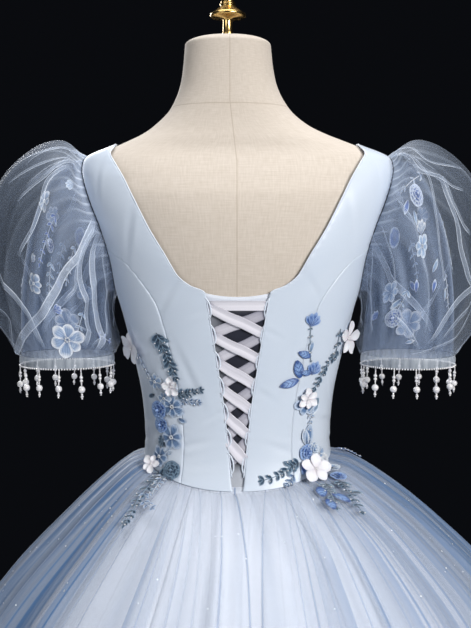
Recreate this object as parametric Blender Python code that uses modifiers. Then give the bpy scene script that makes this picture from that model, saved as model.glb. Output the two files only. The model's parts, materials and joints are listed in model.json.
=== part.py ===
"""A ball gown worn by a limbless dress form: laced satin bodice, organza puff sleeves, full gathered skirt.

Metres, +Z up. The gown's back faces -Y, its front +Y, and the floor is at z = 0. A turn is an angle about
the upright axis, in degrees: 0 is the centre back, 90 the side seam and 180 the centre front. Tables that
give one side of the gown serve both, mirrored. Each wall is an inner and an outer grid of the same rows.
"""

import math

import bmesh
import bpy
import numpy as np
from mathutils import Vector
from mathutils.bvhtree import BVHTree

# Cloth and seams
SATIN = 0.0016
TULLE = 0.0012
ORGANZA = 0.0012
NET = 0.0012
SEAM = 0.0003
SEAM_HALF = 0.0002
ROUND = 2.25
SIDE_TURN = 90.0
LEAST_LEAN = 0.7

# The bodice's outer face: height, half width, depths to front and back, shifts to the right and the front
BODY_COLUMNS = ("height", "half_width", "front", "back", "right", "forward")
BODY = (
    (0.780, 0.154, 0.104, 0.109, 0.000, 0.000),
    (0.860, 0.170, 0.116, 0.128, 0.000, 0.000),
    (0.950, 0.154, 0.110, 0.114, 0.000, 0.000),
    (1.000, 0.135, 0.102, 0.096, 0.000, 0.000),
    (1.040, 0.125, 0.096, 0.086, 0.000, 0.000),
    (1.075, 0.124, 0.098, 0.084, 0.000, 0.000),
    (1.120, 0.128, 0.105, 0.086, 0.000, 0.000),
    (1.160, 0.136, 0.116, 0.091, 0.000, 0.000),
    (1.220, 0.151, 0.137, 0.099, 0.000, 0.000),
    (1.255, 0.161, 0.142, 0.104, 0.000, 0.000),
    (1.300, 0.172, 0.128, 0.109, 0.000, 0.000),
    (1.340, 0.185, 0.114, 0.109, 0.000, 0.002),
    (1.370, 0.196, 0.102, 0.105, 0.000, 0.004),
    (1.400, 0.204, 0.087, 0.095, 0.000, 0.006),
    (1.420, 0.205, 0.074, 0.083, 0.000, 0.008),
    (1.433, 0.198, 0.066, 0.075, 0.000, 0.010),
    (1.447, 0.164, 0.061, 0.070, -0.001, 0.012),
    (1.460, 0.132, 0.058, 0.066, -0.004, 0.014),
    (1.474, 0.108, 0.057, 0.064, -0.008, 0.016),
    (1.495, 0.086, 0.057, 0.062, -0.010, 0.018),
    (1.530, 0.070, 0.056, 0.059, -0.012, 0.020),
    (1.595, 0.062, 0.054, 0.056, -0.013, 0.022),
)

# Seam lines of the bodice, from the waist to the shoulder
WAIST_SIDE = 1.042
WAIST_BACK_DIP = 0.035
WAIST_FRONT_DIP = 0.014
WAIST_DIP_POWER = 1.5
# Panel rows: inner turn, inner height, outer turn, outer height; None follows the waist seam
BACK_PANEL = (
    (1.6, None, 31.0, None),
    (4.3, 1.062, 31.0, 1.068),
    (6.3, 1.112, 32.0, 1.110),
    (8.6, 1.162, 33.4, 1.155),
    (10.5, 1.210, 35.2, 1.200),
    (12.0, 1.2555, 38.0, 1.240),
    (18.5, 1.2650, 45.0, 1.269),
    (23.5, 1.2760, 56.0, 1.295),
)
# Strap rows: inner turn, inner height, place round the armhole
BACK_STRAP = (
    (29.0, 1.305, 107.0),
    (34.5, 1.337, 88.0),
    (38.5, 1.371, 66.0),
    (43.5, 1.405, 48.0),
    (52.0, 1.430, 32.0),
    (64.0, 1.4425, 18.0),
    (77.0, 1.4470, 8.0),
    (90.0, 1.4485, 0.0),
)
SIDE_BACK_HEIGHTS = (None, 1.078, 1.114, 1.150, 1.182, 1.210, 1.232, 1.250)
FRONT_PANEL = (
    (152.0, None, 90.0, None),
    (151.0, 1.078, 90.0, 1.078),
    (148.0, 1.140, 90.0, 1.132),
    (144.0, 1.195, 90.0, 1.182),
    (141.0, 1.245, 90.0, 1.222),
)
FRONT_STRAP = (
    (139.0, 1.290, 180.0),
    (137.0, 1.315, 205.0),
    (136.0, 1.340, 230.0),
    (134.5, 1.365, 257.0),
    (133.0, 1.390, 285.0),
    (129.0, 1.412, 308.0),
    (120.0, 1.4320, 328.0),
    (105.0, 1.4450, 345.0),
    (90.0, 1.4485, 360.0),
)
FRONT_NECK_ROW = 7
FRONT_NECK_DIP = 0.034
PANEL_COLUMNS = 6
FRONT_COLUMNS = 7

# The armhole, an upright oval on the side of the body
ARMHOLE_CENTRE = 1.3415
ARMHOLE_HALF_HEIGHT = 0.0915
ARMHOLE_HALF_TURN = 16.0
ARMHOLE_SCOOP = 0.30
SCOOP_POWER = 3

# Walls of the bodice, as depths under its outer face
FORM_DEPTH = 0.0065
FORM_SHOULDER_DEPTH = 0.0090
FORM_SHOULDER = (1.395, 1.447)
MODESTY_DEPTHS = (0.0057, 0.0036)
RIBBON_UNDER_DEPTHS = (0.0027, 0.0018)
RIBBON_OVER_DEPTHS = (0.0013, 0.0004)
MODESTY_TOP = 1.249
MODESTY_TOP_RISE = 0.007
MODESTY_LAP = 3.0
MODESTY_GRID = (11, 5)

# Lacing
LACED_ROWS = 6
LOOPS = 7
LOOP_TOP = 1.237
LOOP_BOTTOM = 1.040
LOOP_STANDS_IN = 0.0052
LOOP_ROOT = 0.0012
LOOP_DEPTHS = (0.0016, -0.0008)
LOOP_ROW_WIDTHS = (0.15, 0.80, 1.0, 0.80)
LOOP_ROW_TOP = 0.36
LOOP_ROW_STEP = 0.24
LOOP_TAIL = 0.56
RIBBON = 0.0125
RIBBON_AT_LOOP = 0.0050
RIBBON_FILL = 0.78
RIBBON_STANDS_IN = 0.0085
BACK_CURVE = 1.15
RIBBON_STATIONS = (0.18, 0.5, 0.82)

# Skirt: height, half width, shift to the right, share of the waist's dip, fold height, under-skirt's inset
SKIRT_COLUMNS = ("height", "half_width", "right", "dip", "fold", "inset")
SKIRT = (
    (1.0402, 0.1262, 0.000, 1.00, 0.0000, 0.0018),
    (1.0330, 0.1480, 0.004, 0.95, 0.0022, 0.0060),
    (1.0050, 0.1880, 0.010, 0.75, 0.0050, 0.0100),
    (0.9600, 0.2400, 0.016, 0.45, 0.0070, 0.0130),
    (0.8700, 0.3260, 0.019, 0.15, 0.0095, 0.0170),
    (0.7100, 0.4340, 0.015, 0.00, 0.0125, 0.0220),
    (0.4300, 0.5420, 0.007, 0.00, 0.0150, 0.0260),
    (0.0080, 0.6200, 0.000, 0.00, 0.0170, 0.0290),
)
WAIST_DEPTH = 0.0900
HEM_DEPTH = 0.6200
GATHERS = 60
COLUMNS_A_GATHER = 3
GATHER_SHAPE = (1.0, -0.5, -0.5)
GATHER_UNEVEN = 0.30
TULLE_WIDTHS = 8
BASE_SATIN = 0.0012
BASE_FOLDS = 20
BASE_COLUMNS_A_FOLD = 3
BASE_FOLD_SHARE = 0.42
BASE_GORES = 8

# Right sleeve's rings: top's distance out and height, underside's, half depth, fold height
PUFF = (
    (0.2300, 1.4530, 0.1650, 1.2360, 0.0750, 0.0030),
    (0.2700, 1.4420, 0.1670, 1.2210, 0.0920, 0.0050),
    (0.3110, 1.4030, 0.1650, 1.2110, 0.1000, 0.0075),
    (0.3350, 1.3420, 0.1620, 1.2020, 0.1030, 0.0085),
    (0.3380, 1.2800, 0.1590, 1.1920, 0.0990, 0.0075),
    (0.3220, 1.2180, 0.1580, 1.1830, 0.0860, 0.0045),
)
NET_SLEEVE = (
    (0.2370, 1.4170, 0.1730, 1.2530, 0.0520, 0.0000),
    (0.2690, 1.3500, 0.1740, 1.2390, 0.0600, 0.0000),
    (0.2850, 1.2650, 0.1720, 1.2210, 0.0640, 0.0000),
)
CUFF_OUT = 0.2280
CUFF_TOP = 1.1700
CUFF_HALF_WIDTH = 0.0630
CUFF_HALF_DEPTH = 0.0610
BAND_HEIGHT = 0.0130
PUFF_FOLDS = 11
PUFF_FOLD_TWIST = 26.0
COLUMNS_A_PUFF_FOLD = 3
NET_SLEEVE_COLUMNS = 14
BAND_COLUMNS = 20
BAND_INSET = 0.0026
UNDER_FOLD_SHARE = 0.55
PUFF_FOLD_UNEVEN = 0.25
PUFF_SCALES = (0.985, 1.015)
NET_SCALES = (0.935, 0.965)
NET_CUFF_INSET = 0.0022

# Bead fringe
STRANDS = 14
STRAND_HALF_WIDTH = 0.0012
FRINGE_TAPE = 0.0022
FRINGE_INSET = 0.0022
# Rows: drop under the tape, radius
STRAND = (
    (0.0090, 0.0011),
    (0.0160, 0.0030),
    (0.0260, 0.0046),
    (0.0380, 0.0012),
)

# Lifts of what is laid on the cloth, and how far a search for the cloth reaches
SPRAY_LIFT = 0.0012
SPRAY_EDGE = 0.0009
SPRAY_SHARES = (-1.0, -0.5, 0.0, 0.5, 1.0)
CLOTH_SEARCH = 0.006
ARMHOLE_LIFT = 0.0013

# Appliques: rows down each spray, as turn, height, reach to the back, reach to the side, rise over the satin
SPRAY_LEFT = (
    (-60.0, 1.205, 0.006, 0.010, 0.0020),
    (-58.0, 1.182, 0.014, 0.022, 0.0036),
    (-50.0, 1.160, 0.016, 0.014, 0.0024),
    (-44.0, 1.138, 0.024, 0.020, 0.0022),
    (-42.0, 1.112, 0.018, 0.014, 0.0024),
    (-46.0, 1.090, 0.014, 0.018, 0.0044),
    (-46.0, 1.066, 0.016, 0.014, 0.0026),
    (-47.0, 1.046, 0.020, 0.018, 0.0036),
    (-50.0, 1.030, 0.014, 0.016, 0.0020),
)
SPRAY_RIGHT = (
    (35.0, 1.234, 0.004, 0.008, 0.0016),
    (36.0, 1.222, 0.010, 0.014, 0.0036),
    (37.0, 1.196, 0.006, 0.010, 0.0020),
    (38.0, 1.172, 0.014, 0.018, 0.0034),
    (38.0, 1.146, 0.012, 0.022, 0.0022),
    (43.0, 1.118, 0.012, 0.016, 0.0030),
    (45.0, 1.082, 0.010, 0.012, 0.0024),
    (47.0, 1.068, 0.015, 0.016, 0.0040),
    (48.0, 1.0595, 0.008, 0.010, 0.0020),
)

# Raised white flowers: name, turn, height and radius
FLOWERS = (
    ("flower_left_upper", -77.0, 1.180, 0.017),
    ("flower_left_middle", -38.0, 1.138, 0.012),
    ("flower_left_lower", -59.0, 1.037, 0.013),
    ("flower_right_upper", 77.0, 1.193, 0.018),
    ("flower_right_middle", 41.0, 1.121, 0.013),
    ("flower_right_lower", 46.5, 1.036, 0.021),
)
PETALS = 5
PETAL_NOTCH = 0.22
FLOWER_CUP = 0.0060
FLOWER_HEART = 0.0030
FLOWER_FOOT = 0.38
FLOWER_NOTCH_CUP = 0.65
FLOWER_LIFT = 0.0006
SKIRT_LEAN = math.radians(70)
SEAM_CLEAR = 0.0035

# Dress form and stand
FORM_BOTTOM = 0.800
NECK_TOP = 1.592
FORM_SECTORS = 26
FORM_HEIGHTS = (
    0.800, 0.890, 1.005, 1.030, 1.055, 1.085, 1.130, 1.180, 1.225, 1.262, 1.305, 1.350,
    1.385, 1.412, 1.430, 1.441, 1.450, 1.461, 1.476, 1.498, 1.535, 1.592,
)
BASE_RADIUS = 0.190
BASE_THICKNESS = 0.016
BASE_HUB_RADIUS = 0.030
BASE_HUB_HEIGHT = 0.050
BASE_CHAMFER = 0.004
HUB_TOP_SHARE = 0.75
POLE_RADIUS = 0.014
# Rows: height over the neck, radius
FINIAL = (
    (0.0000, 0.0066),
    (0.0230, 0.0066),
    (0.0250, 0.0232),
    (0.0285, 0.0236),
    (0.0350, 0.0150),
    (0.0390, 0.0098),
    (0.0430, 0.0098),
    (0.0465, 0.0064),
    (0.0560, 0.0060),
    (0.0680, 0.0150),
    (0.0800, 0.0190),
    (0.0930, 0.0130),
    (0.1020, 0.0060),
    (0.1080, 0.0070),
    (0.1120, 0.0010),
)
LATHE_STEPS = 14

SATIN_BLUE = (0.62, 0.70, 0.80, 1.0)
TULLE_BLUE = (0.55, 0.66, 0.80, 1.0)
RIBBON_WHITE = (0.80, 0.79, 0.86, 1.0)
FLOWER_WHITE = (0.92, 0.88, 0.89, 1.0)
SPRAY_BLUE = (0.10, 0.20, 0.38, 1.0)
PEARL = (0.88, 0.86, 0.84, 1.0)
LINEN = (0.78, 0.70, 0.58, 1.0)
BRASS = (0.72, 0.52, 0.22, 1.0)
WOOD = (0.30, 0.17, 0.09, 1.0)


def clear_scene():
    for thing in list(bpy.data.objects):
        bpy.data.objects.remove(thing, do_unlink=True)
    for kind in (bpy.data.meshes, bpy.data.curves, bpy.data.materials):
        for block in list(kind):
            kind.remove(block)


def make_collection(name):
    made = bpy.data.collections.new(name)
    bpy.context.scene.collection.children.link(made)
    return made


def make_material(name, colour, roughness, metallic=0.0):
    made = bpy.data.materials.new(name)
    made.use_nodes = True
    shader = made.node_tree.nodes["Principled BSDF"]
    shader.inputs["Base Color"].default_value = colour
    shader.inputs["Roughness"].default_value = roughness
    shader.inputs["Metallic"].default_value = metallic
    return made


def make_object(name, points, faces, material, smooth=True):
    mesh = bpy.data.meshes.new(name)
    mesh.from_pydata([tuple(map(float, p)) for p in points], [], faces)
    mesh.validate()
    work = bmesh.new()
    work.from_mesh(mesh)
    bmesh.ops.recalc_face_normals(work, faces=work.faces)
    work.to_mesh(mesh)
    work.free()
    for polygon in mesh.polygons:
        polygon.use_smooth = smooth
    mesh.materials.append(material)
    made = bpy.data.objects.new(name, mesh)
    PARTS.objects.link(made)
    return made


def column(rows, names, name):
    """One named column of a table, as an array."""
    return np.array([row[names.index(name)] for row in rows], float)


def smooth_value(at, keys, values):
    """A value between a table's rows, on a curve that passes through each row."""
    i = int(np.clip(np.searchsorted(keys, at) - 1, 0, len(keys) - 2))
    before, after = max(i - 1, 0), min(i + 2, len(keys) - 1)
    span = keys[i + 1] - keys[i]
    t = (at - keys[i]) / span
    slope_a = (values[i + 1] - values[before]) / (keys[i + 1] - keys[before]) * span
    slope_b = (values[after] - values[i]) / (keys[after] - keys[i]) * span
    return (
        (2 * t**3 - 3 * t**2 + 1) * values[i]
        + (t**3 - 2 * t**2 + t) * slope_a
        + (3 * t**2 - 2 * t**3) * values[i + 1]
        + (t**3 - t**2) * slope_b
    )


def oval(turn, half_width, front, back, power):
    """A point on the body's oval at this turn, as distances to the right and to the front."""
    angle = math.radians(turn - SIDE_TURN)
    across, along = math.cos(angle), math.sin(angle)
    depth = front if along > 0 else back
    return (
        half_width * math.copysign(abs(across) ** (2 / power), across),
        depth * math.copysign(abs(along) ** (2 / power), along),
    )


BODY_KEYS = column(BODY, BODY_COLUMNS, "height")
BODY_SIZES = {name: column(BODY, BODY_COLUMNS, name) for name in BODY_COLUMNS[1:]}


def skin(turn, height, depth=0.0):
    """A point under the bodice's outer face by this depth; a negative depth stands over it."""
    size = {name: smooth_value(height, BODY_KEYS, values) for name, values in BODY_SIZES.items()}
    x, y = oval(turn, size["half_width"] - depth, size["front"] - depth, size["back"] - depth, ROUND)
    return np.array((x + size["right"], y + size["forward"], height))


def waist_height(turn):
    """The waist seam, lowest at the centre back and a little at the centre front."""
    facing = math.cos(math.radians(turn))
    dip = WAIST_BACK_DIP if facing > 0 else WAIST_FRONT_DIP
    return WAIST_SIDE - dip * abs(facing) ** WAIST_DIP_POWER


def armhole(around, scale=1.0):
    """Turn and height of the armhole: around is 0 at the shoulder, 90 at the back and 180 under the arm."""
    angle = math.radians(around)
    reach = ARMHOLE_HALF_TURN * math.sin(angle) * (1 - ARMHOLE_SCOOP * math.cos(angle))
    return (
        SIDE_TURN - scale * reach,
        ARMHOLE_CENTRE + scale * ARMHOLE_HALF_HEIGHT * math.cos(angle),
    )


def grid_faces(rows, columns, wrap, offset=0, flip=False):
    """Three-sided faces over a grid of points. Both sides of a wall split each of its cells the same way."""
    found = []
    for r in range(rows - 1):
        for c in range(columns if wrap else columns - 1):
            a = offset + r * columns + c
            b = offset + r * columns + (c + 1) % columns
            for face in ((a, b, b + columns), (a, b + columns, a + columns)):
                found.append(face[::-1] if flip else face)
    return found


def wall_faces(rows, columns, wrap):
    """Faces of a closed wall: an inner grid, an outer grid and the rims between them."""
    outer = rows * columns
    found = grid_faces(rows, columns, wrap) + grid_faces(rows, columns, wrap, outer, True)
    for c in range(columns if wrap else columns - 1):
        d = (c + 1) % columns
        last = (rows - 1) * columns
        found.append((c, outer + c, outer + d, d))
        found.append((last + c, last + d, outer + last + d, outer + last + c))
    if not wrap:
        for r in range(rows - 1):
            a, b = r * columns, (r + 1) * columns
            found.append((a, b, outer + b, outer + a))
            a, b = a + columns - 1, b + columns - 1
            found.append((a, outer + a, outer + b, b))
    return found


def make_wall(name, inner, outer, material, wrap=False):
    rows, columns = inner.shape[:2]
    points = np.concatenate([inner.reshape(-1, 3), outer.reshape(-1, 3)])
    return make_object(name, points, wall_faces(rows, columns, wrap), material)


def draw_in(grid, by, edges=("first", "last")):
    """Moves a grid's side columns towards its middle, to part it from its neighbours at the seams."""
    grid = grid.copy()
    for edge in edges:
        end, near = (0, 1) if edge == "first" else (-1, -2)
        step = grid[:, near] - grid[:, end]
        length = np.maximum(np.linalg.norm(step, axis=1, keepdims=True), 1e-9)
        grid[:, end] += step / length * by
    return grid


def grid_normals(grid, wrap, sense):
    """Outward directions of a grid, and how much longer each must be for the wall to keep its thickness.

    sense is 1 where the columns run clockwise seen from the grid's first row, and -1 otherwise.
    """
    if wrap:
        across = np.roll(grid, -1, axis=1) - np.roll(grid, 1, axis=1)
        step = np.roll(grid, -1, axis=1) - grid
    else:
        across = np.gradient(grid, axis=1)
        step = np.diff(grid, axis=1, append=grid[:, -1:] * 2 - grid[:, -2:-1])
    down = np.gradient(grid, axis=0)
    normal = sense * np.cross(across, down)
    normal /= np.linalg.norm(normal, axis=2, keepdims=True)
    after = sense * np.cross(step, down)
    after /= np.linalg.norm(after, axis=2, keepdims=True)
    before = np.roll(after, 1, axis=1) if wrap else after
    lean = np.minimum((normal * after).sum(axis=2), (normal * before).sum(axis=2))
    return normal, 1 / np.clip(np.abs(lean), LEAST_LEAN, 1.0)[..., None]


# Bodice


def panel_rows(panel, strap):
    """A panel's seam lines as rows of (inner turn, inner height, outer turn, outer height)."""
    rows = []
    for inner_turn, inner_height, outer_turn, outer_height in panel:
        if inner_height is None:
            inner_height, outer_height = waist_height(inner_turn), waist_height(outer_turn)
        rows.append((inner_turn, inner_height, outer_turn, outer_height))
    for inner_turn, inner_height, around in strap:
        rows.append((inner_turn, inner_height, *armhole(around)))
    return rows


def side_back_rows():
    """The side back panel: its back edge is the back panel's princess seam, its other edge the side seam."""
    back = panel_rows(BACK_PANEL, BACK_STRAP[:1])
    heights = [waist_height(SIDE_TURN) if h is None else h for h in SIDE_BACK_HEIGHTS] + [armhole(180)[1]]
    return [(row[2], row[3], SIDE_TURN, heights[i]) for i, row in enumerate(back)]


def panel_grid(rows, side, depth, scooped):
    """A panel's face at this depth, between its two seam lines. Its waist edge follows the waist seam.

    scooped: the top edge follows the armhole.
    """
    grid = np.empty((len(rows), PANEL_COLUMNS, 3))
    for r, (inner_turn, inner_height, outer_turn, outer_height) in enumerate(rows):
        for c in range(PANEL_COLUMNS):
            t = c / (PANEL_COLUMNS - 1)
            turn = inner_turn + (outer_turn - inner_turn) * t
            height = inner_height + (outer_height - inner_height) * t
            if r == 0:
                height = waist_height(turn)
            if scooped:
                share = (r / (len(rows) - 1)) ** SCOOP_POWER
                edge_turn_at, edge_height = armhole(BACK_STRAP[0][2] * (1 - t) + 180 * t)
                turn += (edge_turn_at - rows[-1][0] * (1 - t) - rows[-1][2] * t) * share
                height += (edge_height - rows[-1][1] * (1 - t) - rows[-1][3] * t) * share
            grid[r, c] = skin(turn * side, height, depth)
    return grid


def make_panel(name, rows, side, scooped=False):
    """A panel's wall. Where its last row is the shoulder seam, that edge is parted from its neighbour too."""
    inner, outer = (draw_in(panel_grid(rows, side, d, scooped), SEAM_HALF) for d in (SATIN, 0.0))
    if rows[-1][0] == rows[-1][2] == SIDE_TURN:
        for grid in (inner, outer):
            step = grid[-2] - grid[-1]
            grid[-1] += step / np.linalg.norm(step, axis=1, keepdims=True) * SEAM_HALF
    OUTER_FACES.append(outer)
    return make_wall(name, inner, outer, SATIN_CLOTH)


def centre_front_grid(depth):
    """The centre front panel, between the two princess seams, up to a shallow scooped neckline."""
    seam = panel_rows(FRONT_PANEL, FRONT_STRAP)[:FRONT_NECK_ROW]
    grid = np.empty((len(seam), FRONT_COLUMNS, 3))
    for r, (turn, height, _, _) in enumerate(seam):
        rise = r / (len(seam) - 1)
        for c in range(FRONT_COLUMNS):
            across = 2 * c / (FRONT_COLUMNS - 1) - 1
            at = 180 - across * (180 - turn)
            scoop = FRONT_NECK_DIP * rise * (1 - across**2)
            grid[r, c] = skin(at, waist_height(at) if r == 0 else height - scoop, depth)
    return grid


def make_bodice():
    for side, word in ((-1, "left"), (1, "right")):
        make_panel(f"bodice_back_{word}", panel_rows(BACK_PANEL, BACK_STRAP), side)
        make_panel(f"bodice_side_back_{word}", side_back_rows(), side, True)
        make_panel(f"bodice_side_front_{word}", panel_rows(FRONT_PANEL, FRONT_STRAP), side)
    inner, outer = (draw_in(centre_front_grid(d), SEAM_HALF) for d in (SATIN, 0.0))
    make_wall("bodice_front", inner, outer, SATIN_CLOTH)


def cloth_surface(grids):
    """The outer faces of these walls, to lay other pieces on."""
    points, faces = [], []
    for grid in grids:
        rows, columns = grid.shape[:2]
        faces += grid_faces(rows, columns, False, len(points))
        points += [Vector(p) for p in grid.reshape(-1, 3)]
    return BVHTree.FromPolygons(points, faces)


def on_cloth(surface, turn, height, lift):
    """A point this far over the bodice's cloth, or over its smooth form in a seam's gap."""
    smooth = skin(turn, height)
    out = Vector((smooth[0], smooth[1], 0.0)).normalized()
    hit = surface.ray_cast(Vector(smooth) + out * CLOTH_SEARCH * 2, -out)[0]
    start = hit if hit is not None and (hit - Vector(smooth)).length < CLOTH_SEARCH else Vector(smooth)
    return np.array(start + out * lift)


# Lacing


def edge_turn(height):
    """Turn of the laced edge at this height."""
    rows = panel_rows(BACK_PANEL, ())[:LACED_ROWS]
    heights, turns = [row[1] for row in rows], [row[0] for row in rows]
    return float(np.interp(height, heights, turns))


def make_modesty_panel():
    levels, columns = MODESTY_GRID
    faces = []
    for depth in MODESTY_DEPTHS:
        grid = np.empty((levels, columns, 3))
        for r in range(levels):
            for c in range(columns):
                across = 2 * c / (columns - 1) - 1
                top = MODESTY_TOP + MODESTY_TOP_RISE * across**2
                height = waist_height(0) + (top - waist_height(0)) * r / (levels - 1)
                half = edge_turn(height) + MODESTY_LAP
                grid[r, c] = skin(across * half, height, depth)
        faces.append(grid)
    return make_wall("modesty_panel", faces[0], faces[1], SATIN_CLOTH)


def loop_heights():
    return np.linspace(LOOP_TOP, LOOP_BOTTOM, LOOPS)


def turn_of(length, height):
    """The turn that this length makes near the centre back."""
    return math.degrees(length / (smooth_value(height, BODY_KEYS, BODY_SIZES["half_width"]) * BACK_CURVE))


def make_loops(side, word):
    """A row of rouleau loops along the laced edge, joined by a narrow tape under them."""
    pitch = (LOOP_TOP - LOOP_BOTTOM) / (LOOPS - 1)
    levels = []
    for height in loop_heights():
        for i, share in enumerate(LOOP_ROW_WIDTHS):
            levels.append((height + pitch * (LOOP_ROW_TOP - LOOP_ROW_STEP * i), share))
    levels.append((LOOP_BOTTOM - pitch * LOOP_TAIL, LOOP_ROW_WIDTHS[0]))
    walls = []
    for depth in LOOP_DEPTHS:
        grid = np.empty((len(levels), 2, 3))
        for r, (height, share) in enumerate(levels):
            edge = edge_turn(height) - turn_of(SEAM, height)
            reach = turn_of(LOOP_ROOT + (LOOP_STANDS_IN - LOOP_ROOT) * share, height)
            grid[r, 0] = skin(side * edge, height, depth)
            grid[r, 1] = skin(side * (edge - reach), height, depth)
        walls.append(grid)
    return make_wall(f"lacing_loops_{word}", walls[0], walls[1], SATIN_CLOTH)


def ribbon_half(name, side, with_bar):
    """Half of the lacing ribbon, zigzagging down the opening: over going one way, under going back."""
    heights = loop_heights()
    stops = [(side if i % 2 == 0 else -side, h) for i, h in enumerate(heights)]
    if with_bar:
        stops = [(-side, heights[0] + RIBBON_AT_LOOP)] + stops
        stops[1] = (side, heights[0] + RIBBON_AT_LOOP)
    else:
        stops[0] = (side, heights[0] - RIBBON_AT_LOOP)

    def end(stop_side, height):
        edge = edge_turn(height) - turn_of(RIBBON_STANDS_IN, height)
        return stop_side * edge

    pitch = heights[0] - heights[1]
    bend_depth = (RIBBON_UNDER_DEPTHS[1] + RIBBON_OVER_DEPTHS[0]) / 2
    bend_step = (RIBBON_UNDER_DEPTHS[0] - RIBBON_UNDER_DEPTHS[1]) / 2
    far, near = [], []
    for k, ((side_a, high), (side_b, low)) in enumerate(zip(stops, stops[1:])):
        turn_a, turn_b = end(side_a, high), end(side_b, low)
        scale = turn_of(1.0, (high + low) / 2)
        run, drop = (turn_b - turn_a) / scale, low - high
        length = math.hypot(run, drop)
        width = RIBBON if drop == 0 else min(RIBBON, RIBBON_FILL * pitch * abs(run) / length)
        if turn_b > turn_a:
            far_depth, near_depth = RIBBON_OVER_DEPTHS[1], RIBBON_OVER_DEPTHS[0]
        else:
            far_depth, near_depth = RIBBON_UNDER_DEPTHS
        across, up = (-drop / length, run / length) if run > 0 else (drop / length, -run / length)
        stations = [(t, width, across, up) for t in RIBBON_STATIONS]
        if k == 0:
            stations = [(0.0, RIBBON_AT_LOOP, 0.0, 1.0)] + stations
        for t, wide, across_t, up_t in stations:
            centre_turn, centre_height = turn_a + (turn_b - turn_a) * t, high + drop * t
            for wall, depth in ((far, far_depth), (near, near_depth)):
                wall.append(ribbon_row(centre_turn, centre_height, wide, across_t, up_t, depth))
        if k < len(stops) - 2:
            for wall, way in ((far, 1), (near, -1)):
                bent = turn_b + way * side_b * turn_of(bend_step, low)
                wall.append(ribbon_row(bent, low, min(RIBBON_AT_LOOP, width), 0.0, 1.0, bend_depth))
        else:
            for wall, depth in ((far, far_depth), (near, near_depth)):
                wall.append(ribbon_row(turn_b, low, min(RIBBON_AT_LOOP, width), 0.0, 1.0, depth))
    return make_wall(name, np.array(near), np.array(far), RIBBON_CLOTH)


def ribbon_row(turn, height, width, across, up, depth):
    """Both edges of the ribbon at one station, lower edge first."""
    return [
        skin(turn + turn_of(across * shift, height), height + up * shift, depth)
        for shift in (-width / 2, width / 2)
    ]


# Skirt


def smooth_skirt():
    """The skirt's form without its gathers, as a function of turn for each row of its table."""
    heights = column(SKIRT, SKIRT_COLUMNS, "height")
    widths = column(SKIRT, SKIRT_COLUMNS, "half_width")
    shifts = column(SKIRT, SKIRT_COLUMNS, "right")
    dips = column(SKIRT, SKIRT_COLUMNS, "dip")

    def row_point(r, turn):
        flare = (widths[r] - widths[0]) / (widths[-1] - widths[0])
        depth = WAIST_DEPTH + (HEM_DEPTH - WAIST_DEPTH) * flare
        power = ROUND + (2.0 - ROUND) * min(1.0, 3 * flare)
        x, y = oval(turn, widths[r], depth, depth, power)
        dip = (waist_height(turn) - WAIST_SIDE) * dips[r]
        return np.array((x + shifts[r], y, heights[r] + dip))

    return row_point


def waist_ring(turn, drop):
    """The skirt's top edge, tucked under the bodice's lower edge."""
    return skin(turn, waist_height(turn), SATIN / 2) - np.array((0, 0, drop))


def skirt_grid(turns):
    row_point = smooth_skirt()
    grid = np.array([[row_point(r, turn) for turn in turns] for r in range(len(SKIRT))])
    grid[0] = [waist_ring(turn, 2 * SEAM + TULLE) for turn in turns]
    return grid


def uneven(count, seed, share):
    """A repeatable run of factors around 1, one for each fold."""
    return 1 + share * np.random.default_rng(seed).uniform(-1, 1, count)


def skirt_turns(folds, columns_a_fold):
    """Turns of the columns. The centre back falls in a valley."""
    count = folds * columns_a_fold
    return (np.arange(count) - 1.5) * 360 / count


def make_tulle():
    turns = skirt_turns(GATHERS, COLUMNS_A_GATHER)
    smooth = skirt_grid(turns)
    normal, _ = grid_normals(smooth, True, -1)
    fold = column(SKIRT, SKIRT_COLUMNS, "fold")
    shape = np.tile(GATHER_SHAPE, GATHERS)
    high = np.repeat(uneven(GATHERS, 7, GATHER_UNEVEN), COLUMNS_A_GATHER)
    wander = np.repeat(uneven(GATHERS, 11, GATHER_UNEVEN), COLUMNS_A_GATHER)
    down = np.linspace(0, 1, len(SKIRT))[:, None]
    lift = fold[:, None] * shape * (high * (1 - down) + wander * down)
    inner = smooth + normal * lift[..., None]
    normal, stretch = grid_normals(inner, True, -1)
    outer = inner + normal * stretch * TULLE
    outer[0] = inner[0] + np.array((0, 0, TULLE))
    outer[-1, :, 2] = inner[-1, :, 2]
    split_wall("skirt_tulle", inner, outer, TULLE_WIDTHS, 0.0, TULLE_CLOTH)


def make_base_skirt():
    turns = skirt_turns(BASE_FOLDS, BASE_COLUMNS_A_FOLD)
    smooth = skirt_grid(turns)
    normal, _ = grid_normals(smooth, True, -1)
    fold = column(SKIRT, SKIRT_COLUMNS, "fold") * BASE_FOLD_SHARE
    inset = column(SKIRT, SKIRT_COLUMNS, "inset")
    shape = np.tile(GATHER_SHAPE, BASE_FOLDS)
    lift = fold[:, None] * shape - inset[:, None]
    inner = smooth + normal * lift[..., None]
    inner[0] = smooth[0] - np.array((0, 0, inset[0]))
    inner[-1, :, 2] = smooth[-1, :, 2]
    normal, stretch = grid_normals(inner, True, -1)
    outer = inner + normal * stretch * BASE_SATIN
    outer[0] = inner[0] + np.array((0, 0, BASE_SATIN))
    outer[-1, :, 2] = inner[-1, :, 2]
    split_wall("skirt_base", inner, outer, BASE_GORES, 0.5, BASE_CLOTH)


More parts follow.
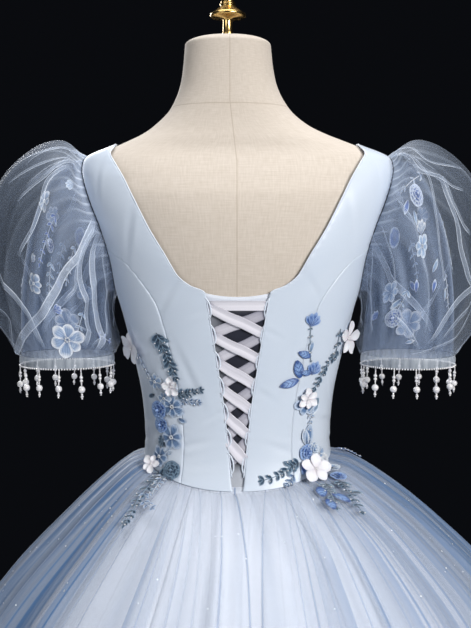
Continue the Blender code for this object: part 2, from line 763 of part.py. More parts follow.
def split_wall(name, inner, outer, count, shift, material):
    """Cuts a tube into equal widths, each its own wall. The first seam is at the back, or this share past it."""
    columns = inner.shape[1]
    start = 1 + round(shift * columns / count)
    for i in range(count):
        first = start + round(i * columns / count)
        last = start + round((i + 1) * columns / count)
        picked = [c % columns for c in range(first, last + 1)]
        inside, outside = (draw_in(grid[:, picked], SEAM_HALF) for grid in (inner, outer))
        make_wall(f"{name}_{i + 1}", inside, outside, material)


# Sleeves


def sleeve_ring(row, around):
    """A point of a sleeve's ring: around is 0 at the top, 90 at the back and 180 beneath."""
    top_out, top_up, under_out, under_up, half_depth, _ = row
    angle = math.radians(around)
    mix = (1 + math.cos(angle)) / 2
    return np.array(
        (
            under_out + (top_out - under_out) * mix,
            -half_depth * math.sin(angle),
            under_up + (top_up - under_up) * mix,
        )
    )


def cuff_ring(inset, height):
    return (
        CUFF_OUT + CUFF_HALF_WIDTH - inset,
        height,
        CUFF_OUT - CUFF_HALF_WIDTH + inset,
        height,
        CUFF_HALF_DEPTH - inset,
        0.0,
    )


def sleeve_walls(surface, rings, columns, scales, cuff_inset, thickness, folds, twist):
    """Inner and outer grids of a right-hand sleeve, from the armhole to the cuff."""
    cuff = cuff_ring(cuff_inset + thickness, CUFF_TOP + SEAM)
    rings = list(rings) + [cuff]
    around = np.arange(columns) * 360 / columns
    inner = np.empty((len(rings) + 1, columns, 3))
    edge = []
    for scale in scales:
        edge.append([on_cloth(surface, *armhole(a, scale), ARMHOLE_LIFT) for a in around])
    inner[0] = edge[0]
    for r, row in enumerate(rings):
        inner[r + 1] = [sleeve_ring(row, a) for a in around]
    normal, _ = grid_normals(inner, True, 1)
    if folds:
        for r, row in enumerate(rings):
            phase = twist * (r + 1) / len(rings)
            under = np.array([1 - UNDER_FOLD_SHARE * max(0.0, -math.cos(math.radians(a))) for a in around])
            wave = np.cos(np.radians(folds * around + phase)) * uneven(columns, 5, PUFF_FOLD_UNEVEN)
            inner[r + 1] += normal[r + 1] * (row[-1] * wave * under)[:, None]
    normal, stretch = grid_normals(inner, True, 1)
    outer = inner + normal * stretch * thickness
    outer[0] = edge[1]
    outer[-1] = [sleeve_ring(cuff_ring(cuff_inset, CUFF_TOP + SEAM), a) for a in around]
    return inner, outer


def mirrored(grid, side):
    return grid * np.array((side, 1.0, 1.0))


def make_sleeve(surface, side, word):
    columns = PUFF_FOLDS * COLUMNS_A_PUFF_FOLD
    puff = sleeve_walls(surface, PUFF, columns, PUFF_SCALES, 0.0, ORGANZA, PUFF_FOLDS, PUFF_FOLD_TWIST)
    make_wall(f"sleeve_puff_{word}", *(mirrored(grid, side) for grid in puff), ORGANZA_CLOTH, wrap=True)
    net = sleeve_walls(surface, NET_SLEEVE, NET_SLEEVE_COLUMNS, NET_SCALES, NET_CUFF_INSET, NET, 0, 0)
    make_wall(f"sleeve_net_{word}", *(mirrored(grid, side) for grid in net), NET_CLOTH, wrap=True)
    around = np.arange(BAND_COLUMNS) * 360 / BAND_COLUMNS
    walls = []
    for inset in (BAND_INSET, 0.0):
        rows = [cuff_ring(inset, height) for height in (CUFF_TOP, CUFF_TOP - BAND_HEIGHT)]
        walls.append(np.array([[sleeve_ring(row, a) for a in around] for row in rows]))
    make_wall(f"sleeve_band_{word}", *(mirrored(grid, side) for grid in walls), BAND_CLOTH, wrap=True)


def make_fringe(side, word):
    """Strands of beads fused to a narrow tape under the sleeve's band."""
    top = CUFF_TOP - BAND_HEIGHT - SEAM
    half_turn = math.degrees(STRAND_HALF_WIDTH / CUFF_HALF_WIDTH)
    around = []
    for i in range(STRANDS):
        centre = (i + 0.5) * 360 / STRANDS
        around += [centre - half_turn, centre + half_turn]
    columns = len(around)
    points = []
    for height, inset in (
        (top, FRINGE_INSET),
        (top - FRINGE_TAPE, FRINGE_INSET),
        (top, 0.0),
        (top - FRINGE_TAPE, 0.0),
    ):
        points += [sleeve_ring(cuff_ring(inset, height), a) for a in around]
    faces = []
    for c in range(columns):
        d = (c + 1) % columns
        faces.append((c, d, columns + d, columns + c))
        faces.append((2 * columns + c, 3 * columns + c, 3 * columns + d, 2 * columns + d))
        faces.append((c, 2 * columns + c, 2 * columns + d, d))
        if c % 2 == 1:
            faces.append((columns + c, columns + d, 3 * columns + d, 3 * columns + c))
    for i in range(STRANDS):
        c = 2 * i
        root = (columns + c, columns + c + 1, 3 * columns + c + 1, 3 * columns + c)
        corners = np.array([points[k] for k in root])
        centre = corners.mean(axis=0)
        directions = [(p - centre) / np.linalg.norm(p - centre) for p in corners]
        ring = root
        for drop, radius in STRAND:
            base = len(points)
            for direction in directions:
                points.append(centre + direction * radius - np.array((0, 0, drop)))
            fresh = tuple(range(base, base + 4))
            for k in range(4):
                m = (k + 1) % 4
                faces.append((ring[k], ring[m], fresh[m], fresh[k]))
            ring = fresh
        faces.append(ring)
    points = np.array(points) * np.array((side, 1.0, 1.0))
    make_object(f"bead_fringe_{word}", points, faces, PEARL_BEAD)


# Appliques


def make_spray(name, rows, surface):
    """A raised spray laid on the satin: higher along its middle than at its edges."""
    walls = []
    for layer in (0, 1):
        grid = np.empty((len(rows), len(SPRAY_SHARES), 3))
        for r, (turn, height, reach_back, reach_side, rise) in enumerate(rows):
            outward = math.copysign(1.0, turn)
            for c, share in enumerate(SPRAY_SHARES):
                shift = share * (reach_back if share < 0 else reach_side)
                height_over = SPRAY_EDGE + (rise - SPRAY_EDGE) * (1 - share**2)
                lift = SPRAY_LIFT + (height_over if layer else 0.0)
                grid[r, c] = on_cloth(surface, turn + outward * turn_of(shift, height), height, lift)
        walls.append(grid)
    OUTER_FACES.append(walls[1])
    return make_wall(name, walls[0], walls[1], SPRAY_CLOTH)


def make_flower(surface, name, turn, height, radius):
    """A five-petalled flower, cupped, on a narrow foot over the satin. Its petals bend out over the skirt."""
    count = 2 * PETALS
    around = [2 * math.pi * i / count for i in range(count)]

    def place(distance, angle, lift):
        at = turn + turn_of(distance * math.cos(angle), height)
        up = height + distance * math.sin(angle)
        over = max(0.0, waist_height(at) + SEAM_CLEAR - up)
        up += over * (1 - math.cos(SKIRT_LEAN))
        return on_cloth(surface, at, up, FLOWER_LIFT + lift + over * math.sin(SKIRT_LEAN))

    points = [place(0, 0, 0)]
    points += [place(radius * FLOWER_FOOT, a, 0) for a in around]
    for i, a in enumerate(around):
        reach = radius * (1 - PETAL_NOTCH * (i % 2))
        points.append(place(reach, a, FLOWER_CUP * (FLOWER_NOTCH_CUP if i % 2 else 1.0)))
    points.append(place(0, 0, FLOWER_HEART))
    faces = []
    for i in range(count):
        j = (i + 1) % count
        faces.append((0, 1 + i, 1 + j))
        faces.append((1 + i, 1 + count + i, 1 + count + j, 1 + j))
        faces.append((1 + count + i, 1 + 2 * count, 1 + count + j))
    return make_object(name, points, faces, FLOWER_CLOTH)


# Dress form and stand


def make_form():
    points = []
    low, high = FORM_SHOULDER
    for height in FORM_HEIGHTS:
        depth = FORM_SHOULDER_DEPTH if low < height < high else FORM_DEPTH
        for i in range(FORM_SECTORS):
            points.append(skin(i * 360 / FORM_SECTORS, height, depth))
    faces = grid_faces(len(FORM_HEIGHTS), FORM_SECTORS, True)
    faces.append(tuple(range(FORM_SECTORS)))
    faces.append(tuple(range((len(FORM_HEIGHTS) - 1) * FORM_SECTORS, len(FORM_HEIGHTS) * FORM_SECTORS)))
    make_object("form_torso", points, faces, LINEN_CLOTH)


def make_lathe(name, profile, material, at=(0.0, 0.0)):
    """A turned piece: a Screw modifier on a half profile of (radius, height) from the top down."""
    mesh = bpy.data.meshes.new(name)
    points = [(radius, 0.0, height) for radius, height in profile]
    mesh.from_pydata(points, [(i, i + 1) for i in range(len(points) - 1)], [])
    mesh.materials.append(material)
    made = bpy.data.objects.new(name, mesh)
    made.location = (at[0], at[1], 0.0)
    PARTS.objects.link(made)
    turned = made.modifiers.new("Turned", "SCREW")
    turned.axis = "Z"
    turned.angle = 2 * math.pi
    turned.steps = turned.render_steps = LATHE_STEPS
    turned.use_merge_vertices = True
    turned.merge_threshold = 0.00005
    turned.use_smooth_shade = True
    return made


def make_stand():
    pole_bottom = BASE_HUB_HEIGHT + SEAM
    pole_top = FORM_BOTTOM - SEAM
    make_lathe(
        "form_base",
        (
            (0.0, BASE_HUB_HEIGHT),
            (BASE_HUB_RADIUS * HUB_TOP_SHARE, BASE_HUB_HEIGHT),
            (BASE_HUB_RADIUS, BASE_THICKNESS + BASE_CHAMFER),
            (BASE_RADIUS - BASE_CHAMFER, BASE_THICKNESS),
            (BASE_RADIUS, BASE_THICKNESS - BASE_CHAMFER),
            (BASE_RADIUS, 0.0),
            (0.0, 0.0),
        ),
        DARK_WOOD,
    )
    make_lathe(
        "form_pole",
        ((0.0, pole_top), (POLE_RADIUS, pole_top), (POLE_RADIUS, pole_bottom), (0.0, pole_bottom)),
        BRASS_METAL,
    )
    neck = skin(0, NECK_TOP)
    front = skin(180, NECK_TOP)
    side = (skin(90, NECK_TOP) + skin(-90, NECK_TOP)) / 2
    bottom = NECK_TOP + SEAM
    profile = [(0.0, bottom + FINIAL[-1][0])]
    profile += [(radius, bottom + up) for up, radius in reversed(FINIAL)]
    profile.append((0.0, bottom))
    make_lathe("form_finial", profile, BRASS_METAL, (side[0], (neck[1] + front[1]) / 2))


clear_scene()
PARTS = make_collection("Ball gown on dress form")
make_collection("Cutters")
OUTER_FACES = []
SATIN_CLOTH = make_material("Bodice satin", SATIN_BLUE, 0.35)
BASE_CLOTH = make_material("Skirt satin", SATIN_BLUE, 0.40)
TULLE_CLOTH = make_material("Skirt tulle", TULLE_BLUE, 0.70)
ORGANZA_CLOTH = make_material("Sleeve organza", TULLE_BLUE, 0.50)
NET_CLOTH = make_material("Sleeve net", SATIN_BLUE, 0.70)
BAND_CLOTH = make_material("Sleeve band", SATIN_BLUE, 0.50)
RIBBON_CLOTH = make_material("Lacing ribbon", RIBBON_WHITE, 0.35)
SPRAY_CLOTH = make_material("Applique spray", SPRAY_BLUE, 0.60)
FLOWER_CLOTH = make_material("Applique flower", FLOWER_WHITE, 0.60)
PEARL_BEAD = make_material("Pearl", PEARL, 0.25)
LINEN_CLOTH = make_material("Form linen", LINEN, 0.90)
BRASS_METAL = make_material("Brass", BRASS, 0.30, 1.0)
DARK_WOOD = make_material("Stand wood", WOOD, 0.45)

make_form()
make_stand()
make_bodice()
make_modesty_panel()
make_loops(-1, "left")
make_loops(1, "right")
ribbon_half("lacing_ribbon_a", -1, True)
ribbon_half("lacing_ribbon_b", 1, False)
make_tulle()
make_base_skirt()
SURFACE = cloth_surface(OUTER_FACES)
for SIDE, WORD in ((-1, "left"), (1, "right")):
    make_sleeve(SURFACE, SIDE, WORD)
    make_fringe(SIDE, WORD)
make_spray("applique_left", SPRAY_LEFT, SURFACE)
make_spray("applique_right", SPRAY_RIGHT, SURFACE)
SURFACE = cloth_surface(OUTER_FACES)
for FLOWER in FLOWERS:
    make_flower(SURFACE, *FLOWER)
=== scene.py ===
"""The looks of a laced ball gown on a dress form: satin bodice, sheer puff sleeves, gathered tulle skirt.

Metres, +Z up, in the frame's own axes. The gown's back faces -Y. A turn is an angle about the upright axis,
in degrees: 0 at the centre back, 90 at the right side seam, 180 at the centre front, negative on the left.
A cloth surface is a grid of points, its rows running down or up the cloth and its columns across it.
"""

import json
import math

import bpy
import numpy as np
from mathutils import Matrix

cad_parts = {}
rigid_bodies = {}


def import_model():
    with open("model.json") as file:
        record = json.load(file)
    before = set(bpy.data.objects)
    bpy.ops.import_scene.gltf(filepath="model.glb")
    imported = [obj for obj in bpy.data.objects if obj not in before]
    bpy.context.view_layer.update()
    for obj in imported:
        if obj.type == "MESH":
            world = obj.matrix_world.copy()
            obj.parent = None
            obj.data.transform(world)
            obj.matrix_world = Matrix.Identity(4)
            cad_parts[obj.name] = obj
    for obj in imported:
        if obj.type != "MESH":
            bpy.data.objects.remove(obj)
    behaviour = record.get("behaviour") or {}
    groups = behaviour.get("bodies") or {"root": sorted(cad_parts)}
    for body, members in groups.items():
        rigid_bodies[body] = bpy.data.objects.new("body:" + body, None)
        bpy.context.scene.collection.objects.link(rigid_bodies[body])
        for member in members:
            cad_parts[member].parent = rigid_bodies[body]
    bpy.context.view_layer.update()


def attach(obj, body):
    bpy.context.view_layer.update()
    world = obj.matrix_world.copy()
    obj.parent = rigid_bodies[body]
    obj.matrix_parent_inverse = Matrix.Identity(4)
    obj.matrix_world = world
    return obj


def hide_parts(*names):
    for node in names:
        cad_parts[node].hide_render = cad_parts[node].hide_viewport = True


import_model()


def by_column(names, rows):
    """A table's columns as arrays, under their names."""
    return dict(zip(names, np.array(rows).T))


# The body's outer face, row by row
ROUND = 2.25
SIDE_TURN = 90.0
BODY_COLUMNS = ("height", "half_width", "front", "back", "right", "forward")
BODY_ROWS = (
    (0.780, 0.154, 0.104, 0.109, 0.000, 0.000),
    (0.860, 0.170, 0.116, 0.128, 0.000, 0.000),
    (0.950, 0.154, 0.110, 0.114, 0.000, 0.000),
    (1.000, 0.135, 0.102, 0.096, 0.000, 0.000),
    (1.040, 0.125, 0.096, 0.086, 0.000, 0.000),
    (1.075, 0.124, 0.098, 0.084, 0.000, 0.000),
    (1.120, 0.128, 0.105, 0.086, 0.000, 0.000),
    (1.160, 0.136, 0.116, 0.091, 0.000, 0.000),
    (1.220, 0.151, 0.137, 0.099, 0.000, 0.000),
    (1.255, 0.161, 0.142, 0.104, 0.000, 0.000),
    (1.300, 0.172, 0.128, 0.109, 0.000, 0.000),
    (1.340, 0.185, 0.114, 0.109, 0.000, 0.002),
    (1.370, 0.196, 0.102, 0.105, 0.000, 0.004),
    (1.400, 0.204, 0.087, 0.095, 0.000, 0.006),
    (1.420, 0.205, 0.074, 0.083, 0.000, 0.008),
    (1.433, 0.198, 0.066, 0.075, 0.000, 0.010),
    (1.447, 0.164, 0.061, 0.070, -0.001, 0.012),
    (1.460, 0.132, 0.058, 0.066, -0.004, 0.014),
    (1.474, 0.108, 0.057, 0.064, -0.008, 0.016),
    (1.495, 0.086, 0.057, 0.062, -0.010, 0.018),
    (1.530, 0.070, 0.056, 0.059, -0.012, 0.020),
    (1.595, 0.062, 0.054, 0.056, -0.013, 0.022),
)
BODY = by_column(BODY_COLUMNS, BODY_ROWS)
FORM_DEPTH = 0.0065
FORM_SHOULDER_DEPTH = 0.0090
FORM_SHOULDER = (1.380, 1.400, 1.441, 1.455)
FORM_BOTTOM = 0.800
NECK_TOP = 1.592

# Seam lines of the bodice: inner turn and height, outer turn and height; None follows the waist seam
WAIST_SIDE = 1.042
WAIST_BACK_DIP = 0.035
WAIST_FRONT_DIP = 0.014
WAIST_DIP_POWER = 1.5
BACK_PANEL = (
    (1.6, None, 31.0, None),
    (4.3, 1.062, 31.0, 1.068),
    (6.3, 1.112, 32.0, 1.110),
    (8.6, 1.162, 33.4, 1.155),
    (10.5, 1.210, 35.2, 1.200),
    (12.0, 1.2555, 38.0, 1.240),
    (18.5, 1.2650, 45.0, 1.269),
    (23.5, 1.2760, 56.0, 1.295),
)
LACED_ROWS = 6
BACK_STRAP = (
    (29.0, 1.305, 107.0),
    (34.5, 1.337, 88.0),
    (38.5, 1.371, 66.0),
    (43.5, 1.405, 48.0),
    (52.0, 1.430, 32.0),
    (64.0, 1.4425, 18.0),
    (77.0, 1.4470, 8.0),
    (90.0, 1.4485, 0.0),
)
SIDE_BACK_HEIGHTS = (None, 1.078, 1.114, 1.150, 1.182, 1.210, 1.232, 1.250)
FRONT_PANEL = (
    (152.0, None, 90.0, None),
    (151.0, 1.078, 90.0, 1.078),
    (148.0, 1.140, 90.0, 1.132),
    (144.0, 1.195, 90.0, 1.182),
    (141.0, 1.245, 90.0, 1.222),
)
FRONT_STRAP = (
    (139.0, 1.290, 180.0),
    (137.0, 1.315, 205.0),
    (136.0, 1.340, 230.0),
    (134.5, 1.365, 257.0),
    (133.0, 1.390, 285.0),
    (129.0, 1.412, 308.0),
    (120.0, 1.4320, 328.0),
    (105.0, 1.4450, 345.0),
    (90.0, 1.4485, 360.0),
)
FRONT_NECK_ROW = 7
FRONT_NECK_DIP = 0.034
ARMHOLE_CENTRE = 1.3415
ARMHOLE_HALF_HEIGHT = 0.0915
ARMHOLE_HALF_TURN = 16.0
ARMHOLE_SCOOP = 0.30
SCOOP_POWER = 3

# Skirt: height, half width, shift to the right, share of the waist's dip, fold height, under-skirt's inset
SKIRT_COLUMNS = ("height", "half_width", "right", "dip", "fold", "inset")
SKIRT_ROWS = (
    (1.0402, 0.1262, 0.000, 1.00, 0.0000, 0.0018),
    (1.0330, 0.1480, 0.004, 0.95, 0.0022, 0.0060),
    (1.0050, 0.1880, 0.010, 0.75, 0.0050, 0.0100),
    (0.9600, 0.2400, 0.016, 0.45, 0.0070, 0.0130),
    (0.8700, 0.3260, 0.019, 0.15, 0.0095, 0.0170),
    (0.7100, 0.4340, 0.015, 0.00, 0.0125, 0.0220),
    (0.4300, 0.5420, 0.007, 0.00, 0.0150, 0.0260),
    (0.0080, 0.6200, 0.000, 0.00, 0.0170, 0.0290),
)
SKIRT = by_column(SKIRT_COLUMNS, SKIRT_ROWS)
SKIRT_MIDDLE = (0.0, 0.0, 0.6)
WAIST_DEPTH = 0.0900
HEM_DEPTH = 0.6200
WAIST_TUCK = 0.0018
WAIST_UNDER = 0.0008
CREST_SHARE = 1.1
GATHERS = 60
BASE_FOLDS = 20
WIDTHS = 8

# Right sleeve's rings: top's distance out and height, underside's, half depth, fold height
PUFF = (
    (0.2300, 1.4530, 0.1650, 1.2360, 0.0750, 0.0030),
    (0.2700, 1.4420, 0.1670, 1.2210, 0.0920, 0.0050),
    (0.3110, 1.4030, 0.1650, 1.2110, 0.1000, 0.0075),
    (0.3350, 1.3420, 0.1620, 1.2020, 0.1030, 0.0085),
    (0.3380, 1.2800, 0.1590, 1.1920, 0.0990, 0.0075),
    (0.3220, 1.2180, 0.1580, 1.1830, 0.0860, 0.0045),
)
NET_SLEEVE = (
    (0.2370, 1.4170, 0.1730, 1.2530, 0.0520, 0.0000),
    (0.2690, 1.3500, 0.1740, 1.2390, 0.0600, 0.0000),
    (0.2850, 1.2650, 0.1720, 1.2210, 0.0640, 0.0000),
)
SLEEVE_MIDDLE = (0.235, 0.0, 1.30)
SLEEVE_OVER_BODICE = 0.0014
CUFF_LAP = 0.0006
CUFF_OUT = 0.2280
CUFF_TOP = 1.1700
CUFF_HALF_WIDTH = 0.0630
CUFF_HALF_DEPTH = 0.0610
BAND_HEIGHT = 0.0130
STRANDS = 14

# Lacing
LOOPS = 7
LOOP_TOP = 1.237
LOOP_BOTTOM = 1.040
RIBBON = 0.0125
BACK_CURVE = 1.15

# Steps over which the cloth's slope is measured: degrees, metres or shares of a length, metres up the gown
TURN_STEP = 0.5
WAY_STEP = 0.004
OVER_STEP = 0.001


# ---------------------------------------------------------------- Surfaces


def cubic(t, start, start_slope, end, end_slope):
    """A curve from start to end that leaves and arrives at these slopes."""
    return (
        (2 * t**3 - 3 * t**2 + 1) * start
        + (t**3 - 2 * t**2 + t) * start_slope
        + (3 * t**2 - 2 * t**3) * end
        + (t**3 - t**2) * end_slope
    )


def smooth(at, keys, values, columns=None):
    """Values between a table's rows, on a curve that passes through each row.

    With columns, every place takes its values from its own column of the table.
    """
    at, keys, values = (np.asarray(a, float) for a in (at, keys, values))
    i = np.clip(np.searchsorted(keys, at) - 1, 0, len(keys) - 2)
    before, after = np.maximum(i - 1, 0), np.minimum(i + 2, len(keys) - 1)
    wide = (...,) + (None,) * (values.ndim - (1 if columns is None else 2))

    def row(k):
        return values[k] if columns is None else values[k, columns]

    span = (keys[i + 1] - keys[i])[wide]
    slope_a = (row(i + 1) - row(before)) / (keys[i + 1] - keys[before])[wide] * span
    slope_b = (row(after) - row(i)) / (keys[after] - keys[i])[wide] * span
    return cubic((at - keys[i])[wide] / span, row(i), slope_a, row(i + 1), slope_b)


def bell(away, width):
    """1 at 0, easing off on both sides over this width."""
    return np.exp(-((away / width) ** 2))


def ramp(value, span):
    """0 up to 0, then a straight rise to 1 over this span."""
    return np.clip(value / span, 0, 1)


def eased(t):
    """A share from 0 to 1 that starts and ends slowly."""
    return t * t * (3 - 2 * t)


def unit(vectors):
    """Vectors in the same directions, 1 long."""
    return vectors / np.maximum(np.linalg.norm(vectors, axis=-1, keepdims=True), 1e-12)


def matched(*values):
    """Arrays of one shape, with at least one number each."""
    return [np.atleast_1d(a).astype(float) for a in np.broadcast_arrays(*values)]


def mirrored(points, side):
    """Points of the right side, brought to this side."""
    return points * np.array((side, 1.0, 1.0))


def oval(turn, half_width, front, back, power):
    angle = np.radians(turn - SIDE_TURN)
    across, along = np.cos(angle), np.sin(angle)
    depth = np.where(along > 0, front, back)
    x = half_width * np.sign(across) * np.abs(across) ** (2 / power)
    y = depth * np.sign(along) * np.abs(along) ** (2 / power)
    return x, y


def skin(turn, height, depth=0.0):
    """Points under the bodice's outer face by this depth; a negative depth stands over it."""
    turn, height, depth = np.broadcast_arrays(np.asarray(turn, float), height, depth)
    size = {name: smooth(height, BODY["height"], BODY[name]) for name in BODY_COLUMNS[1:]}
    x, y = oval(turn, size["half_width"] - depth, size["front"] - depth, size["back"] - depth, ROUND)
    return np.stack((x + size["right"], y + size["forward"], height), axis=-1)


def waist_height(turn):
    facing_back = np.cos(np.radians(turn))
    dip = np.where(facing_back > 0, WAIST_BACK_DIP, WAIST_FRONT_DIP)
    return WAIST_SIDE - dip * np.abs(facing_back) ** WAIST_DIP_POWER


def armhole(around, scale=1.0):
    angle = np.radians(around)
    reach = ARMHOLE_HALF_TURN * np.sin(angle) * (1 - ARMHOLE_SCOOP * np.cos(angle))
    return SIDE_TURN - scale * reach, ARMHOLE_CENTRE + scale * ARMHOLE_HALF_HEIGHT * np.cos(angle)


def facing(grid):
    """Directions out of a grid's cells, long where the cells are large."""
    return np.cross(np.gradient(grid, axis=1), np.gradient(grid, axis=0))


def normals(grid, inside):
    """Unit normals of a grid, on the side away from a point inside."""
    normal = unit(facing(grid))
    return normal * np.sign((normal * (grid - np.array(inside))).sum())


def lifted(grid, relief, inside):
    """A grid moved out by its relief, away from a point inside."""
    return grid + normals(grid, inside) * relief[..., None]


def steps(grid, axis):
    """Distances between neighbours of a grid, along its rows (axis 0) or columns (axis 1)."""
    return np.linalg.norm(np.diff(grid, axis=axis), axis=2)


def running(distances):
    """Distances added up from 0."""
    return np.concatenate([[0], np.cumsum(distances)])


def way_down(grid):
    """Mean distances down a grid's rows, from 0."""
    return running(steps(grid, 0).mean(axis=1))


def closed(grid):
    """A grid whose last column is its first again."""
    return np.concatenate([grid, grid[:, :1]], axis=1)


def skirt_control(turns):
    """The skirt's rows at these turns, without gathers: an array of rows, turns and coordinates."""
    flare = (SKIRT["half_width"] - SKIRT["half_width"][0]) / np.ptp(SKIRT["half_width"])
    rows = []
    for r, share in enumerate(flare):
        depth = WAIST_DEPTH + (HEM_DEPTH - WAIST_DEPTH) * share
        power = ROUND + (2.0 - ROUND) * min(1.0, 3 * share)
        x, y = oval(turns, SKIRT["half_width"][r], depth, depth, power)
        z = SKIRT["height"][r] + (waist_height(turns) - WAIST_SIDE) * SKIRT["dip"][r]
        rows.append(np.stack((x + SKIRT["right"][r], y, z), axis=-1))
    rows[0] = skin(turns, waist_height(turns), WAIST_UNDER) - np.array((0, 0, WAIST_TUCK))
    return np.array(rows)


SKIRT_WAY = way_down(skirt_control(np.arange(0, 360, 15.0)))


def skirt_each(turns, way):
    """One point of the skirt's smooth form for each turn and distance down from the waist."""
    return smooth(way, SKIRT_WAY, skirt_control(turns), np.arange(len(way)))


def gown(turn, over, lift=0.0):
    """Points on the gown's cloth: over is the height over the waist seam, or under 0 down along the skirt."""
    turn, over, lift = matched(turn, over, lift)

    def place(turns, overs):
        on_body = skin(turns, waist_height(turns) + np.maximum(overs, 0))
        on_skirt = skirt_each(turns, np.maximum(-overs, 0))
        return np.where((overs < 0)[:, None], on_skirt, on_body)

    here = place(turn, over)
    side = place(turn + TURN_STEP, over) - here
    up = place(turn, over + OVER_STEP) - place(turn, over - OVER_STEP)
    crests = np.where(over < 0, np.interp(-over, SKIRT_WAY, SKIRT["fold"]) * CREST_SHARE, 0.0)
    return here + unit(np.cross(side, up)) * (lift + crests)[:, None]


def ring(row, around):
    """Points round one ring of a right-hand sleeve: around is 0 at the top, 90 at the back, 180 beneath."""
    top_out, top_up, under_out, under_up, half_depth = row[:5]
    mix = (1 + np.cos(np.radians(around))) / 2
    x = under_out + (top_out - under_out) * mix
    z = under_up + (top_up - under_up) * mix
    return np.stack((x, -half_depth * np.sin(np.radians(around)), z), axis=-1)


def cuff(inset, height):
    half_width = CUFF_HALF_WIDTH - inset
    return (CUFF_OUT + half_width, height, CUFF_OUT - half_width, height, CUFF_HALF_DEPTH - inset)


def sleeve_rows(rings, around, scale, inset):
    """A right-hand sleeve's rows at these places round it, from the armhole to the cuff."""
    rows = [skin(*armhole(around, scale), -SLEEVE_OVER_BODICE)]
    rows += [ring(row, around) for row in rings]
    rows.append(ring(cuff(inset, CUFF_TOP + CUFF_LAP), around))
    return np.array(rows)


def sleeve_surface(rings, scale, inset, side, relief):
    """A sleeve's cloth: a function of the place round it, the share of its length and a lift over the cloth.

    relief gives the cloth's own height over the smooth form at a place, for the girth and length there.
    """
    rows = sleeve_rows(rings, np.arange(0, 360, 5.0), scale, inset)
    way = way_down(rows)
    girth = np.linalg.norm(np.roll(rows, 1, axis=1) - rows, axis=2).sum(axis=1)

    def place(around, share):
        at = np.clip(share, 0, 1) * way[-1]
        return smooth(at, way, sleeve_rows(rings, around, scale, inset), np.arange(len(at)))

    def surface(around, share, lift=0.0):
        around, share, lift = matched(around, share, lift)
        here = place(around, share)
        across = place(around + TURN_STEP, share) - here
        down = place(around, np.clip(share + WAY_STEP, 0, 1)) - place(around, np.clip(share - WAY_STEP, 0, 1))
        normal = unit(np.cross(across, down))
        normal *= np.sign((normal * (here - SLEEVE_MIDDLE)).sum())
        high = relief(around, share, np.interp(share * way[-1], way, girth), way[-1]) + lift
        return mirrored(here + normal * high[:, None], side)

    return surface


def crease(across, up, angle, length, width, depth):
    """A soft trough with a ridge beside it, in metres of cloth, as a lift over the form."""
    sine, cosine = math.sin(math.radians(angle)), math.cos(math.radians(angle))
    along, aside = across * sine + up * cosine, across * cosine - up * sine
    return depth * bell(along, length) * (0.6 * bell(aside - 1.5 * width, width) - bell(aside, width))


# ---------------------------------------------------------------- Mesh making


def add_object(name, points, faces, material, uv=None, attributes=None, ride=True):
    mesh = bpy.data.meshes.new(name)
    mesh.from_pydata(np.reshape(points, (-1, 3)).tolist(), [], [tuple(map(int, f)) for f in faces])
    if uv is not None:
        mesh.uv_layers.new(name="cloth").data.foreach_set("uv", np.asarray(uv, np.float32).ravel())
    for key, values in (attributes or {}).items():
        layer = mesh.attributes.new(key, "FLOAT", "POINT")
        layer.data.foreach_set("value", np.asarray(values, np.float32).ravel())
    mesh.shade_smooth()
    for slot in material if isinstance(material, (list, tuple)) else [material]:
        mesh.materials.append(slot)
    made = bpy.data.objects.new(name if name not in bpy.data.objects else name + "_cloth", mesh)
    bpy.context.scene.collection.objects.link(made)
    if ride:
        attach(made, "root")
    return made


def stand_for(piece, solid, slot):
    """Hides this solid of the frame, where the piece now stands; piece and slot are not used."""
    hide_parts(solid)


def grid_cells(rows, columns, wrap, flip):
    """Four-sided cells of a grid as corner indices, and the row and column of each corner."""
    r, c = np.meshgrid(np.arange(rows - 1), np.arange(columns if wrap else columns - 1), indexing="ij")
    r, c = r.ravel(), c.ravel()
    corner_r = np.stack([r, r, r + 1, r + 1], axis=1)
    corner_c = np.stack([c, c + 1, c + 1, c], axis=1)
    if flip:
        corner_r, corner_c = corner_r[:, ::-1], corner_c[:, ::-1]
    return corner_r * columns + corner_c % columns, corner_r, corner_c


def sheet_object(name, grid, material, inside, wrap=False, thickness=0.0, fold=None):
    """Cloth through a grid of points, facing away from a point inside, its UV map in metres of cloth.

    fold says how deep each point lies in the cloth's folds, for the material; on the lacing it is painted
    shade, and on the skirt's tulle partly painted shade.
    """
    flip = (facing(grid) * (grid - np.array(inside))).sum() < 0
    cells, corner_r, corner_c = grid_cells(*grid.shape[:2], wrap, flip)
    across = running(steps(closed(grid) if wrap else grid, 1).mean(axis=0))
    down = way_down(closed(grid) if wrap else grid)
    uv = np.stack([across[corner_c], down[corner_r]], axis=-1)
    made = add_object(name, grid, cells, material, uv, {} if fold is None else {"fold": fold})
    if thickness:
        solid = made.modifiers.new("Cloth thickness", "SOLIDIFY")
        solid.thickness = thickness
        solid.offset = -1.0
    return made


def declare_cut(grid):
    """Takes the steps between a cloth piece's points along its rows and down its columns, and keeps nothing
    of them.
    """
    a, b = np.diff(grid[:-1], axis=1), np.diff(grid[:, :-1], axis=0)


class Cluster:
    """Many small shapes gathered into one mesh, each with its own material slot and UV map."""

    def __init__(self):
        self.points, self.faces, self.uv, self.slots, self.count = [], [], [], [], 0

    def add(self, points, cells, uv, slot=0):
        points = np.asarray(points, float).reshape(-1, 3)
        self.points.append(points)
        self.faces += [tuple(int(i) + self.count for i in cell) for cell in cells]
        self.uv += [uv[int(i)] for cell in cells for i in cell]
        self.slots += [slot] * len(cells)
        self.count += len(points)

    def make(self, name, materials):
        made = add_object(name, np.concatenate(self.points), self.faces, materials, self.uv)
        made.data.polygons.foreach_set("material_index", self.slots)
        return made


TUBE_START = (0.3, 0.2, 1.0)


